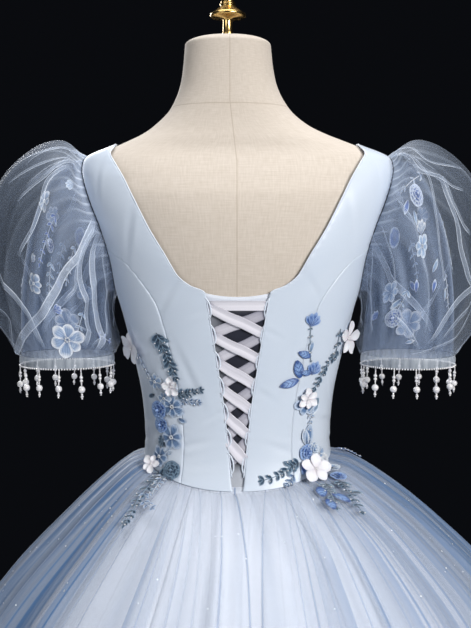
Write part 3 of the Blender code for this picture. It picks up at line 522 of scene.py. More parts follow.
def ball(centre, radius, sides=8, levels=5):
    """Points, cells and UVs of a small ball."""
    points, uv = [(0.0, 0.0, 1.0)], [(0.5, 1.0)]
    for level in range(1, levels):
        tilt = math.pi * level / levels
        for i in range(sides):
            a = 2 * math.pi * i / sides
            points.append((math.sin(tilt) * math.cos(a), math.sin(tilt) * math.sin(a), math.cos(tilt)))
            uv.append((i / sides, 1 - level / levels))
    points.append((0.0, 0.0, -1.0))
    uv.append((0.5, 0.0))
    cells = [(0, 1 + i, 1 + (i + 1) % sides) for i in range(sides)]
    for base in range(1, 1 + (levels - 2) * sides, sides):
        for i in range(sides):
            j = (i + 1) % sides
            cells.append((base + i, base + sides + i, base + sides + j, base + j))
    last = 1 + (levels - 2) * sides
    cells += [(last + i, len(points) - 1, last + (i + 1) % sides) for i in range(sides)]
    return np.array(points) * radius + np.array(centre), cells, uv


def tube(path, radii, sides=6):
    """Points, cells and UVs of a round tube along a path, closed at its ends."""
    path = np.asarray(path, float)
    radii = np.broadcast_to(radii, len(path))
    forward = unit(np.gradient(path, axis=0))
    side = unit(np.cross(forward, TUBE_START))
    over = np.cross(forward, side)
    angles = (2 * math.pi * np.arange(sides) / sides)[None, :, None]
    round_path = side[:, None] * np.cos(angles) + over[:, None] * np.sin(angles)
    points = path[:, None] + radii[:, None, None] * round_path
    cells = []
    for first in range(0, (len(path) - 1) * sides, sides):
        for i in range(sides):
            j = (i + 1) % sides
            cells.append((first + i, first + j, first + sides + j, first + sides + i))
    last = (len(path) - 1) * sides
    cells.append(tuple(range(sides))[::-1])
    cells.append(tuple(range(last, last + sides)))
    uv = [(i / sides, r / 10) for r in range(len(path)) for i in range(sides)]
    return points.reshape(-1, 3), cells, uv


# ---------------------------------------------------------------- Materials


def rgb(red, green, blue):
    """A linear colour from a screen colour of 0 to 255."""
    parts = [c / 255 for c in (red, green, blue)]
    return tuple(c / 12.92 if c <= 0.04045 else ((c + 0.055) / 1.055) ** 2.4 for c in parts)


def new_material(name, colour, roughness, **sockets):
    """A Principled material. The words after roughness set its other sockets."""
    made = bpy.data.materials.new(name)
    made.use_nodes = True
    shader = made.node_tree.nodes["Principled BSDF"]
    shader.inputs["Base Color"].default_value = (*colour, 1.0)
    shader.inputs["Roughness"].default_value = roughness
    for key, value in sockets.items():
        shader.inputs[key.replace("_", " ")].default_value = value
    return made, shader


def node(material, kind, inputs=(), **settings):
    """A new node with its settings and inputs; an input is a value or another node's output."""
    made = material.node_tree.nodes.new(kind)
    for key, value in settings.items():
        setattr(made, key, value)
    for key, value in dict(inputs).items():
        if isinstance(value, bpy.types.NodeSocket):
            material.node_tree.links.new(value, made.inputs[key])
        else:
            made.inputs[key].default_value = value
    return made


def link(material, output, socket):
    material.node_tree.links.new(output, socket)


def combine(material, kind, *values):
    """A Math node of this kind, over one value or two."""
    return node(material, "ShaderNodeMath", enumerate(values), operation=kind).outputs[0]


def plus(material, first, second):
    return combine(material, "ADD", first, second)


def minus(material, first, second):
    return combine(material, "SUBTRACT", first, second)


def times(material, first, second):
    return combine(material, "MULTIPLY", first, second)


def scaled(material, vector, scale):
    return node(material, "ShaderNodeMapping", {"Vector": vector, "Scale": scale}).outputs["Vector"]


def cloth_coordinates(material, scale):
    return scaled(material, node(material, "ShaderNodeUVMap", uv_map="cloth").outputs["UV"], scale)


def object_coordinates(material, scale):
    return scaled(material, node(material, "ShaderNodeTexCoord").outputs["Object"], scale)


def cloth_places(material):
    """The place across a petal, leaf or cloth, and the place along it."""
    vector = node(material, "ShaderNodeUVMap", uv_map="cloth").outputs["UV"]
    parts = node(material, "ShaderNodeSeparateXYZ", {"Vector": vector}).outputs
    return parts["X"], parts["Y"]


def fold_and_shade(material):
    """The cloth's own fold attribute: 0 where it is plain, 1 deep in a fold; on the lacing it is painted
    shade, on the skirt's tulle partly painted shade.
    """
    return node(material, "ShaderNodeAttribute", attribute_name="fold").outputs["Fac"]


def noise(material, vector, detail=3.0, roughness=0.5, scale=1.0):
    inputs = {"Vector": vector, "Scale": scale, "Detail": detail, "Roughness": roughness}
    return node(material, "ShaderNodeTexNoise", inputs).outputs["Fac"]


def spread(material, value, low, high, to_low=0.0, to_high=1.0):
    """Maps a value from one range to another, held at both ends."""
    inputs = {"Value": value, "From Min": low, "From Max": high, "To Min": to_low, "To Max": to_high}
    return node(material, "ShaderNodeMapRange", inputs).outputs["Result"]


def mixed(material, factor, first, second):
    """A colour between two; each is a colour or a node's output."""
    first, second = (c if isinstance(c, bpy.types.NodeSocket) else (*c, 1.0) for c in (first, second))
    inputs = {0: factor, 6: first, 7: second}
    return node(material, "ShaderNodeMix", inputs, data_type="RGBA").outputs[2]


def bumped(material, shader, height, strength, distance):
    inputs = {"Height": height, "Strength": strength, "Distance": distance}
    link(material, node(material, "ShaderNodeBump", inputs).outputs["Normal"], shader.inputs["Normal"])


def satin(name, colour, deep, roughness=0.34, shade=None, grain=1.0):
    """Duchess satin: long floats along the cloth, a soft gleam, streaks of painted sheen along the floats and
    slight clouding.

    shade is the colour of painted shade, laid on where the cloth's fold attribute is 1, in the depth of the
    lacing.
    """
    made, shader = new_material(
        name,
        colour,
        roughness,
        Sheen_Weight=0.35,
        Sheen_Roughness=0.35,
        Anisotropic=0.45,
        Specular_IOR_Level=0.5,
    )
    floats = noise(made, cloth_coordinates(made, (2600, 260, 1)), 2.0)
    clouds = noise(made, cloth_coordinates(made, (9, 5, 1)))
    # Painted sheen: streaks along the real floats shift the colour towards the deeper tone, added to the
    # random clouding
    painted_sheen_streaks = spread(made, floats, 0.3, 0.7, 0.0, 0.35 * grain)
    cloud = plus(made, spread(made, clouds, 0.35, 0.65, 0.0, 0.55), painted_sheen_streaks)
    base = mixed(made, cloud, colour, deep)
    # Painted shade: the fold attribute darkens the lacing's satin towards its shade colour
    if shade is not None:
        base = mixed(made, fold_and_shade(made), base, shade)
    link(made, base, shader.inputs["Base Color"])
    link(made, spread(made, floats, 0.3, 0.7, roughness - 0.07, roughness + 0.09), shader.inputs["Roughness"])
    bumped(made, shader, plus(made, floats, times(made, clouds, 2.5)), 0.16 * grain, 0.0004)
    return made


def sheer(name, colour, fold_colour, thin, dense, mesh_scale, roughness, haze, grain):
    """Sheer cloth: see-through between its threads, and denser and deeper in colour where it is folded."""
    made, shader = new_material(name, colour, roughness, Sheen_Weight=0.5, Sheen_Roughness=0.4)
    # Real fold density, and on the skirt's tulle painted shade towards the sides as well
    fold = fold_and_shade(made)
    mesh = {"Vector": cloth_coordinates(made, (mesh_scale, mesh_scale, 1)), "Scale": 1.0, "Randomness": 0.35}
    cells = node(made, "ShaderNodeTexVoronoi", mesh, feature="DISTANCE_TO_EDGE")
    threads = spread(made, cells.outputs["Distance"], 0.05, 0.35, 1.0, 0.0)
    mist = noise(made, cloth_coordinates(made, (9, 4, 1)), 2.0)
    body = spread(made, plus(made, fold, spread(made, mist, 0.35, 0.7, 0.0, haze)), 0.0, 1.0)
    tint = combine(made, "POWER", spread(made, fold, 0.0, 1.0), 0.6)
    link(made, mixed(made, tint, colour, fold_colour), shader.inputs["Base Color"])
    weave = spread(made, threads, 0.0, 1.0, -0.07 * grain, 0.11 * grain)
    alpha = plus(made, spread(made, body, 0.0, 1.0, thin, dense), weave)
    link(made, spread(made, alpha, 0.0, 1.0), shader.inputs["Alpha"])
    bumped(made, shader, threads, 0.12 * grain, 0.0003)
    return made


def thread(name, colour, rim, deep, rim_from, veins):
    """Embroidery: fine stitches side by side with painted shade between them, a pale corded rim, veins and a
    deeper heart.
    """
    made, shader = new_material(name, colour, 0.38, Sheen_Weight=0.4, Sheen_Roughness=0.3, Anisotropic=0.5)
    u, v = cloth_places(made)
    aside = times(made, combine(made, "ABSOLUTE", minus(made, u, 0.5)), 2.0)
    corded = spread(made, aside, rim_from, rim_from + 0.35)
    edge = combine(made, "MAXIMUM", corded, spread(made, v, 0.68, 0.90))
    stitch = combine(made, "SINE", plus(made, times(made, u, 34.0), times(made, v, 11.0)))
    vein = combine(made, "SINE", minus(made, times(made, v, 26.0), times(made, aside, 7.0)))
    wear = noise(made, object_coordinates(made, (900, 900, 900)), 2.0)
    base = mixed(made, spread(made, v, 0.05, 0.45, 1.0, 0.0), colour, deep)
    # Painted shade between the stitches, which the bump also raises
    base = mixed(made, spread(made, stitch, -0.2, 1.0, 0.0, 0.35), base, deep)
    base = mixed(made, spread(made, vein, 0.45, 0.85, 0.0, veins), base, rim)
    base = mixed(made, times(made, edge, spread(made, wear, 0.3, 0.7, 0.65, 1.0)), base, rim)
    link(made, base, shader.inputs["Base Color"])
    bumped(made, shader, plus(made, stitch, times(made, edge, 2.0)), 0.5, 0.0005)
    return made


def petal_cloth():
    """White chiffon petals with faint veins, warmer in their hearts, with painted shade along their sides."""
    made, shader = new_material(
        "Petal chiffon",
        (0.93, 0.91, 0.93),
        0.55,
        Sheen_Weight=0.5,
        Sheen_Roughness=0.4,
        Subsurface_Weight=0.15,
        Subsurface_Radius=(0.004, 0.003, 0.003),
    )
    u, v = cloth_places(made)
    soft = noise(made, object_coordinates(made, (160, 160, 160)))
    edge = combine(made, "ABSOLUTE", minus(made, u, 0.5))
    base = mixed(made, spread(made, v, 0.0, 0.5, 0.75, 0.0), (0.84, 0.84, 0.88), (0.62, 0.55, 0.60))
    base = mixed(made, spread(made, soft, 0.35, 0.7, 0.0, 0.25), base, (0.70, 0.72, 0.82))
    # Painted shade along each petal's sides, towards grey lilac
    base = mixed(made, spread(made, edge, 0.30, 0.5, 0.0, 0.45), base, (0.62, 0.60, 0.70))
    link(made, base, shader.inputs["Base Color"])
    bumped(made, shader, combine(made, "SINE", times(made, u, 40.0)), 0.22, 0.0004)
    return made


def pearl_bead():
    made, shader = new_material(
        "Pearl", (0.90, 0.87, 0.86), 0.20, Coat_Weight=0.6, Coat_Roughness=0.08, Specular_IOR_Level=0.6
    )
    swirl = noise(made, object_coordinates(made, (220, 220, 220)))
    base = mixed(made, spread(made, swirl, 0.35, 0.65), (0.80, 0.785, 0.775), (0.70, 0.69, 0.74))
    link(made, base, shader.inputs["Base Color"])
    link(made, spread(made, swirl, 0.3, 0.7, 0.14, 0.28), shader.inputs["Roughness"])
    return made


NECK_SEAM = 1.4965
SEAM_HALF = 0.0009


def seam_line(material, value, middle):
    """1 where a value is at the middle of a seam and 0 past the seam's half width."""
    away = combine(material, "ABSOLUTE", minus(material, value, middle))
    return spread(material, away, 0.3 * SEAM_HALF, SEAM_HALF, 1.0, 0.0)


def linen():
    """The form's cover: a fine weave of uneven threads, sewn down the centre back and round the neck."""
    made, shader = new_material("Form linen", (0.76, 0.68, 0.58), 0.92, Sheen_Weight=0.2, Sheen_Roughness=0.6)
    threads = {"Vector": cloth_coordinates(made, (1, 1, 1)), "Scale": 420.0, "Distortion": 1.2, "Detail": 2.0}
    warp, weft = (node(made, "ShaderNodeTexWave", threads, bands_direction=way) for way in "XY")
    weave = times(made, plus(made, warp.outputs["Fac"], weft.outputs["Fac"]), 0.5)
    slubs = noise(made, cloth_coordinates(made, (60, 700, 1)))
    cross = noise(made, cloth_coordinates(made, (700, 60, 1)))
    rough = times(made, plus(made, slubs, cross), 0.5)
    base = mixed(made, spread(made, rough, 0.36, 0.64), rgb(208, 198, 188), rgb(194, 183, 171))
    base = mixed(made, spread(made, weave, 0.2, 0.8, 0.16, 0.0), base, rgb(170, 154, 134))
    place = node(made, "ShaderNodeTexCoord").outputs["Object"]
    parts = node(made, "ShaderNodeSeparateXYZ", {"Vector": place}).outputs
    middle = spread(made, parts["Z"], 1.42, 1.50, -0.001, -0.010)
    behind = spread(made, parts["Y"], -0.01, 0.0, 1.0, 0.0)
    down_back = times(made, seam_line(made, parts["X"], middle), behind)
    seam = combine(made, "MAXIMUM", down_back, seam_line(made, parts["Z"], NECK_SEAM))
    base = mixed(made, times(made, seam, 0.42), base, rgb(150, 132, 112))
    link(made, base, shader.inputs["Base Color"])
    bumped(made, shader, minus(made, plus(made, weave, rough), times(made, seam, 1.5)), 0.28, 0.0004)
    return made


def brass():
    made, shader = new_material("Brass", (0.78, 0.53, 0.20), 0.24, Metallic=1.0)
    smudge = noise(made, object_coordinates(made, (60, 60, 60)), 4.0, 0.6)
    base = mixed(made, spread(made, smudge, 0.35, 0.7), (0.80, 0.56, 0.22), (0.58, 0.37, 0.13))
    link(made, base, shader.inputs["Base Color"])
    link(made, spread(made, smudge, 0.3, 0.7, 0.16, 0.38), shader.inputs["Roughness"])
    return made


def dark_wood():
    made, shader = new_material("Stand wood", (0.20, 0.10, 0.05), 0.38, Coat_Weight=0.3, Coat_Roughness=0.2)
    grain = noise(made, object_coordinates(made, (4, 60, 8)), 5.0, 0.6)
    base = mixed(made, spread(made, grain, 0.35, 0.65), (0.24, 0.12, 0.055), (0.10, 0.045, 0.02))
    link(made, base, shader.inputs["Base Color"])
    bumped(made, shader, grain, 0.2, 0.0005)
    return made


def glitter_foil():
    made, shader = new_material("Glitter", (0.96, 0.97, 1.0), 0.30, Metallic=0.35)
    tint = noise(made, object_coordinates(made, (300, 300, 300)), 1.0)
    link(made, mixed(made, tint, (1.0, 0.98, 0.95), (0.80, 0.90, 1.0)), shader.inputs["Base Color"])
    return made


SATIN = satin("Bodice satin", rgb(207, 216, 229), rgb(194, 206, 222))
BINDING = satin("Loop satin", rgb(226, 233, 243), rgb(192, 203, 221))
# The panel's and the ribbon's last colours are painted shade, laid on where their fold attribute is 1
SHADE_SATIN = satin("Panel satin", rgb(226, 230, 240), rgb(200, 208, 222), 0.4, rgb(38, 40, 52))
RIBBON_SATIN = satin("Lacing ribbon", rgb(240, 238, 245), rgb(222, 220, 232), 0.30, rgb(120, 120, 138))
BASE_SATIN = satin("Skirt satin", rgb(226, 230, 240), rgb(212, 219, 232), 0.42, grain=0.3)
# Sheer cloths: colour, colour of folds, how dense plain and folded, threads a metre, roughness, haze, grain
# On the skirt's tulle the colour of folds also paints shade towards the skirt's sides
SHEER_LOOKS = {
    "Skirt tulle": ((214, 222, 235), (62, 102, 148), 0.13, 0.86, 620, 0.55, 0.04, 0.4),
    "Skirt under tulle": ((218, 225, 237), (98, 132, 172), 0.10, 0.46, 620, 0.55, 0.04, 0.4),
    "Sleeve organza": ((188, 207, 236), (232, 240, 252), 0.035, 0.84, 1100, 0.40, 0.02, 0.8),
    "Sleeve net": ((90, 118, 164), (184, 202, 230), 0.09, 0.48, 900, 0.55, 0.08, 1.0),
    "Sleeve band": ((190, 205, 226), (228, 235, 245), 0.26, 0.62, 1100, 0.40, 0.06, 1.0),
}
TULLE, UNDER_TULLE, ORGANZA, NET, BAND_CLOTH = (
    sheer(name, rgb(*colour), rgb(*fold_colour), *rest)
    for name, (colour, fold_colour, *rest) in SHEER_LOOKS.items()
)
PETAL = petal_cloth()
PEARL = pearl_bead()
LINEN = linen()
BRASS = brass()
WOOD = dark_wood()
GLITTER = glitter_foil()
# Embroidery threads: colour, rim, heart, where the rim starts, and how strong the veins are
THREAD_LOOKS = {
    "cornflower": ((66, 104, 174), (160, 188, 230), (28, 52, 118), 0.45, 0.0),
    "slate": ((104, 134, 174), (198, 213, 234), (40, 62, 100), 0.45, 0.0),
    "pale": ((148, 174, 208), (226, 234, 244), (72, 102, 148), 0.45, 0.0),
    "teal": ((52, 76, 100), (132, 158, 182), (18, 32, 52), 0.45, 0.0),
    "white": ((226, 233, 243), (248, 250, 253), (150, 168, 196), 0.45, 0.0),
    "stem": ((78, 102, 126), (160, 180, 196), (34, 52, 74), 0.45, 0.0),
    "leaf": ((140, 171, 216), (36, 66, 132), (58, 94, 162), 0.60, 0.75),
    "lace_blue": ((66, 102, 178), (226, 236, 250), (36, 62, 130), 0.55, 0.0),
    "lace_white": ((146, 168, 200), (250, 251, 254), (92, 118, 160), 0.55, 0.0),
}
THREADS = [
    thread("Thread " + name.replace("_", " "), *(rgb(*c) for c in colours), rim_from, veins)
    for name, (*colours, rim_from, veins) in THREAD_LOOKS.items()
]
SLOT = {name: i for i, name in enumerate(THREAD_LOOKS)}
BEAD_SLOT = len(THREADS)


# ---------------------------------------------------------------- Bodice

INSIDE = (0.0, 0.02, 1.20)
BODICE_WALL = 0.0014
ROW_STEP = 0.0034
EVEN_SHARES = np.linspace(0, 1, 27)
# Places across a panel, closer together at its seams
PANEL_SHARES = (1 - np.cos(math.pi * EVEN_SHARES)) / 2 * 0.45 + EVEN_SHARES * 0.55


def held(at, values):
    """Values between rows that are one apart, on a curve that passes each row and never overshoots."""
    values = np.asarray(values, float)
    step = np.diff(values, axis=0)
    product, total = step[:-1] * step[1:], step[:-1] + step[1:]
    inner = np.where(product > 0, 2 * product / np.where(total == 0, 1, total), 0)
    slope = np.concatenate([step[:1], inner, step[-1:]])
    i = np.clip(np.floor(at).astype(int), 0, len(values) - 2)
    return cubic((at - i)[:, None], values[i], slope[i], values[i + 1], slope[i + 1])


def panel_rows(panel, strap):
    """A panel's seam lines as rows of (inner turn, inner height, outer turn, outer height)."""
    rows = []
    for inner_turn, inner_height, outer_turn, outer_height in panel:
        if inner_height is None:
            inner_height, outer_height = waist_height(inner_turn), waist_height(outer_turn)
        rows.append((inner_turn, float(inner_height), outer_turn, float(outer_height)))
    for inner_turn, inner_height, around in strap:
        outer_turn, outer_height = armhole(around)
        rows.append((inner_turn, inner_height, float(outer_turn), float(outer_height)))
    return rows


BACK_ROWS = panel_rows(BACK_PANEL, BACK_STRAP)
FRONT_ROWS = panel_rows(FRONT_PANEL, FRONT_STRAP)


def row_places(rows):
    """Places along a table of seam rows, a short step of cloth apart, with one on every row."""
    rows = np.array(rows)
    edges = skin(rows[:, 0], rows[:, 1]), skin(rows[:, 2], rows[:, 3])
    spans = np.maximum(*(np.linalg.norm(np.diff(edge, axis=0), axis=1) for edge in edges))
    counts = [max(2, int(span / ROW_STEP) + 1) for span in spans]
    places = [np.linspace(i, i + 1, count, endpoint=False) for i, count in enumerate(counts)]
    return np.concatenate(places + [[len(rows) - 1.0]])


PUCKER_PITCH = 0.011


def seam_relief(grid):
    """Dips along a panel's side seams, with small uneven puckers beside them."""
    across = steps(grid, 1)
    from_first = np.concatenate([np.zeros((len(grid), 1)), np.cumsum(across, axis=1)], axis=1)
    along = way_down(grid)[:, None]
    relief = 0.0
    for shift, away in ((0.0, from_first), (1.7, from_first[:, -1:] - from_first)):
        wave = np.sin(2 * math.pi * along / PUCKER_PITCH + shift + 1.4 * np.sin(along / 0.037 + shift))
        relief = relief - 0.0003 * bell(away, 0.0012)
        relief = relief + 0.0002 * wave * bell(away - 0.003, 0.004)
    return relief

# Creases of a panel: turn, height, angle from upright, half length, half width, depth
BACK_CREASES = {
    "left": (
        (-26.0, 1.062, 74.0, 0.022, 0.0045, 0.0010),
        (-12.0, 1.100, 60.0, 0.018, 0.0035, 0.0007),
        (-24.0, 1.150, -20.0, 0.034, 0.0055, 0.0009),
        (-30.0, 1.252, 38.0, 0.030, 0.0050, 0.0010),
        (-46.0, 1.330, 24.0, 0.034, 0.0050, 0.0009),
        (-16.0, 1.232, 66.0, 0.016, 0.0034, 0.0007),
        (-20.0, 1.036, 82.0, 0.020, 0.0032, 0.0008),
        (-60.0, 1.395, 18.0, 0.026, 0.0045, 0.0008),
    ),
    "right": (
        (24.0, 1.058, -72.0, 0.020, 0.0042, 0.0009),
        (13.0, 1.128, -58.0, 0.017, 0.0034, 0.0007),
        (25.0, 1.172, 16.0, 0.036, 0.0055, 0.0009),
        (33.0, 1.262, -40.0, 0.028, 0.0048, 0.0010),
        (48.0, 1.345, -26.0, 0.034, 0.0050, 0.0009),
        (15.0, 1.205, -64.0, 0.015, 0.0032, 0.0007),
        (61.0, 1.400, -20.0, 0.024, 0.0045, 0.0008),
    ),
}
SIDE_CREASES = (
    (47.0, 1.062, -66.0, 0.020, 0.0042, 0.0010),
    (66.0, 1.088, -78.0, 0.024, 0.0048, 0.0011),
    (58.0, 1.140, -30.0, 0.028, 0.0050, 0.0008),
    (72.0, 1.208, 34.0, 0.026, 0.0050, 0.0010),
    (80.0, 1.060, -84.0, 0.018, 0.0036, 0.0009),
)
FRONT_CREASES = (
    (112.0, 1.068, 70.0, 0.022, 0.0045, 0.0010),
    (126.0, 1.096, 80.0, 0.020, 0.0040, 0.0008),
    (104.0, 1.150, 30.0, 0.030, 0.0052, 0.0010),
    (118.0, 1.236, -28.0, 0.026, 0.0050, 0.0009),
    (140.0, 1.058, 76.0, 0.018, 0.0036, 0.0008),
)
MIDDLE_CREASES = (
    (168.0, 1.052, 74.0, 0.024, 0.0042, 0.0009),
    (191.0, 1.066, -78.0, 0.022, 0.0042, 0.0009),
    (176.0, 1.180, 12.0, 0.034, 0.0055, 0.0007),
    (204.0, 1.110, -24.0, 0.028, 0.0048, 0.0008),
)


def crease_relief(turn, height, creases):
    """The lift of a list of creases over cloth whose points have these turns and heights."""
    relief = np.zeros_like(turn)
    for at, up, *form in creases:
        a_degree = np.linalg.norm(skin(at + TURN_STEP, up) - skin(at - TURN_STEP, up)) / (2 * TURN_STEP)
        relief += crease((turn - at) * a_degree, height - up, *form)
    return relief


def flipped(creases, side):
    """The right side's creases, on this side."""
    return [(at * side, up, angle * side, *form) for at, up, angle, *form in creases]


def to_waist(height, turn, at):
    """Heights that leave a panel's first row on the waist seam and its other rows as they are."""
    return height + (waist_height(turn) - height) * np.clip(1 - at, 0, 1) ** 2


def creased(turn, height, creases):
    """A panel's outer face, with its seams' puckers and its creases."""
    grid = skin(turn, height)
    return lifted(grid, seam_relief(grid) + crease_relief(turn, height, creases), INSIDE)


def panel_grid(rows, side, creases, scooped=False):
    """A panel's outer face between its two seam lines; its waist edge follows the waist seam.

    A scooped panel's top edge follows the armhole.
    """
    at = row_places(rows)
    fine = held(at, rows)
    if scooped:
        fine[:, :2] = held(at, BACK_ROWS)[:, 2:4]
    share, at = PANEL_SHARES[None, :], at[:, None]
    turn = fine[:, 0:1] * (1 - share) + fine[:, 2:3] * share
    height = to_waist(fine[:, 1:2] * (1 - share) + fine[:, 3:4] * share, turn, at)
    if scooped:
        up = (at / (len(rows) - 1)) ** SCOOP_POWER
        top_turn, top_height = armhole(BACK_STRAP[0][2] * (1 - share) + 180 * share)
        turn = turn + (top_turn - rows[-1][0] * (1 - share) - rows[-1][2] * share) * up
        height = height + (top_height - rows[-1][1] * (1 - share) - rows[-1][3] * share) * up
    return creased(turn * side, height, creases)


def front_grid():
    """The centre front panel, up to a shallow scooped neckline."""
    at = row_places(FRONT_ROWS[:FRONT_NECK_ROW])
    fine = held(at, FRONT_ROWS)
    share, at = 2 * np.linspace(0, 1, 41)[None, :] - 1, at[:, None]
    turn = 180 - share * (180 - fine[:, 0:1])
    height = fine[:, 1:2] - FRONT_NECK_DIP * at / (FRONT_NECK_ROW - 1) * (1 - share**2)
    return creased(turn, to_waist(height, turn, at), MIDDLE_CREASES)


def make_panel(name, grid):
    made = sheet_object(name, grid, SATIN, INSIDE, thickness=BODICE_WALL)
    stand_for(made, name, "satin")
    declare_cut(grid)


def side_back_rows():
    heights = [waist_height(SIDE_TURN) if h is None else h for h in SIDE_BACK_HEIGHTS]
    heights.append(armhole(180)[1])
    return [(row[2], row[3], SIDE_TURN, float(height)) for row, height in zip(BACK_ROWS, heights)]


def make_bodice():
    for side, word in ((-1, "left"), (1, "right")):
        make_panel(f"bodice_back_{word}", panel_grid(BACK_ROWS, side, BACK_CREASES[word]))
        side_creases, front_creases = flipped(SIDE_CREASES, side), flipped(FRONT_CREASES, side)
        make_panel(f"bodice_side_back_{word}", panel_grid(side_back_rows(), side, side_creases, scooped=True))
        make_panel(f"bodice_side_front_{word}", panel_grid(FRONT_ROWS, side, front_creases))
    make_panel("bodice_front", front_grid())


BINDING_RADIUS = 0.0009
BINDING_DEPTH = 0.6 * BINDING_RADIUS
BINDING_FIRST_ROW = 5


def make_neck_binding():
    """The neckline's turned edge: a thin roll from the lacing's top over both shoulders, round the front."""
    back = held(np.linspace(BINDING_FIRST_ROW, len(BACK_ROWS) - 1, 90), BACK_ROWS)[:, :2]
    front = held(np.linspace(len(FRONT_ROWS) - 1, FRONT_NECK_ROW - 1, 60)[1:], FRONT_ROWS)[:, :2]
    share = np.linspace(-1, 1, 61)[1:-1]
    turn, height = front[-1]
    middle = np.stack((180 + share * (180 - turn), height - FRONT_NECK_DIP * (1 - share**2)), axis=1)
    right = np.concatenate([back, front])
    line = np.concatenate([right, middle, right[::-1] * (-1, 1) + (360, 0)])
    line = line[np.concatenate([[True], np.linalg.norm(np.diff(line, axis=0), axis=1) > 1e-6])]
    cluster = Cluster()
    cluster.add(*tube(skin(line[:, 0], line[:, 1], BINDING_DEPTH), BINDING_RADIUS, 8))
    cluster.make("neck_binding", [BINDING])


# ---------------------------------------------------------------- Lacing


def edge_turn(height):
    """The turn of the laced edge at this height."""
    rows = np.array(BACK_ROWS[:LACED_ROWS])
    return np.interp(height, rows[:, 1], rows[:, 0])


def turn_of(length, height):
    """The turn that this length makes near the centre back."""
    return np.degrees(length / (smooth(height, BODY["height"], BODY["half_width"]) * BACK_CURVE))


LOOP_HEIGHTS = np.linspace(LOOP_TOP, LOOP_BOTTOM, LOOPS)
LOOP_PITCH = (LOOP_TOP - LOOP_BOTTOM) / (LOOPS - 1)
LOOP_REACH = 0.0050
LOOP_START = 0.0012
LOOP_RADIUS = 0.0011
LOOP_HALF = 0.40
TAPE_RADIUS = 0.0009
TAPE_DEPTH = 0.0004
TAPE_PAST_EDGE = 0.0002


def make_loops(side, word):
    """Rouleau loops along the laced edge, on a tape under it. The right side's lie 1 mm deeper."""
    cluster = Cluster()
    t = np.linspace(-1, 1, 19)
    depth = 0.0006 - 0.0008 * (1 - t**2) + 0.0005 * (1 + side)
    for i, height in enumerate(LOOP_HEIGHTS):
        up = height + LOOP_PITCH * LOOP_HALF * t * (1 + 0.04 * math.sin(2.3 * i))
        longest = (LOOP_REACH - 0.0006 * side) * (1 + 0.08 * math.sin(4.1 * i + side))
        turn = edge_turn(up) - turn_of(longest * (1 - np.abs(t) ** 2.6) - LOOP_START, up)
        cluster.add(*tube(skin(side * turn, up, depth), LOOP_RADIUS, 8))
    up = np.linspace(LOOP_TOP + 0.4 * LOOP_PITCH, LOOP_BOTTOM - 0.5 * LOOP_PITCH, 60)
    tape = skin(side * (edge_turn(up) - turn_of(TAPE_PAST_EDGE, up)), up, TAPE_DEPTH)
    cluster.add(*tube(tape, TAPE_RADIUS, 8))
    name = f"lacing_loops_{word}"
    stand_for(cluster.make(name, [BINDING]), name, "satin")


MODESTY_TOP = 1.2512
MODESTY_TOP_RISE = 0.007
MODESTY_LAP = 3.0
MODESTY_DEPTH = 0.0036
# Places as shares of the way down the panel: its hem's dip, where the painted shade starts and where it fades
HEM_LINE = 0.055
SHADE_START = 0.050
SHADE_FADE = 0.86


def make_modesty_panel():
    """The panel behind the lacing, its colour darkened by painted shade below its hem, a little lighter at
    its foot and on its left.
    """
    share = np.linspace(-1, 1, 25)[None, :]
    down = np.linspace(0, 1, 60)[:, None]
    top = MODESTY_TOP + MODESTY_TOP_RISE * share**2
    height = top + (waist_height(0.0) - top) * down
    ripple = 0.0006 * np.sin(9 * share + 14 * down) * np.sin(math.pi * down)
    grid = skin(share * (edge_turn(height) + MODESTY_LAP), height, MODESTY_DEPTH)
    grid = lifted(grid, ripple - 0.0010 * bell(down - HEM_LINE, 0.02), INSIDE)
    # Painted shade for the panel's satin: dark below the hem, easing at the foot and towards the left
    shade = ramp(down - SHADE_START, 0.02) - 0.55 * ramp(down - SHADE_FADE, 0.05)
    shade = shade * (1 - 0.30 * ramp(-share - 0.35, 0.4))
    made = sheet_object("modesty_panel", grid, SHADE_SATIN, INSIDE, thickness=BODICE_WALL, fold=shade)
    stand_for(made, "modesty_panel", "satin")
    declare_cut(grid)


RIBBON_AT_LOOP = 0.0080
RIBBON_PAST_EDGE = 0.0016
RIBBON_WALL = 0.0005
RIBBON_TURNED = 0.0050
RIBBON_SUNK = 0.0100
BAR_RISE = 0.0034
SECOND_DROP = 0.0050
OVER_DEPTH = 0.0002
UNDER_DEPTH = 0.0026
END_DEPTH = 0.0020
RIBBON_SHARES = np.linspace(-0.5, 0.5, 11)


def ribbon_stops(side, with_bar):
    """The ribbon's turns from the top down, as side and height; the bar runs straight across the top."""
    stops = [[side if i % 2 == 0 else -side, height] for i, height in enumerate(LOOP_HEIGHTS)]
    if with_bar:
        stops[0][1] += BAR_RISE
        return [[-side, stops[0][1]]] + stops
    stops[0][1] -= SECOND_DROP
    return stops


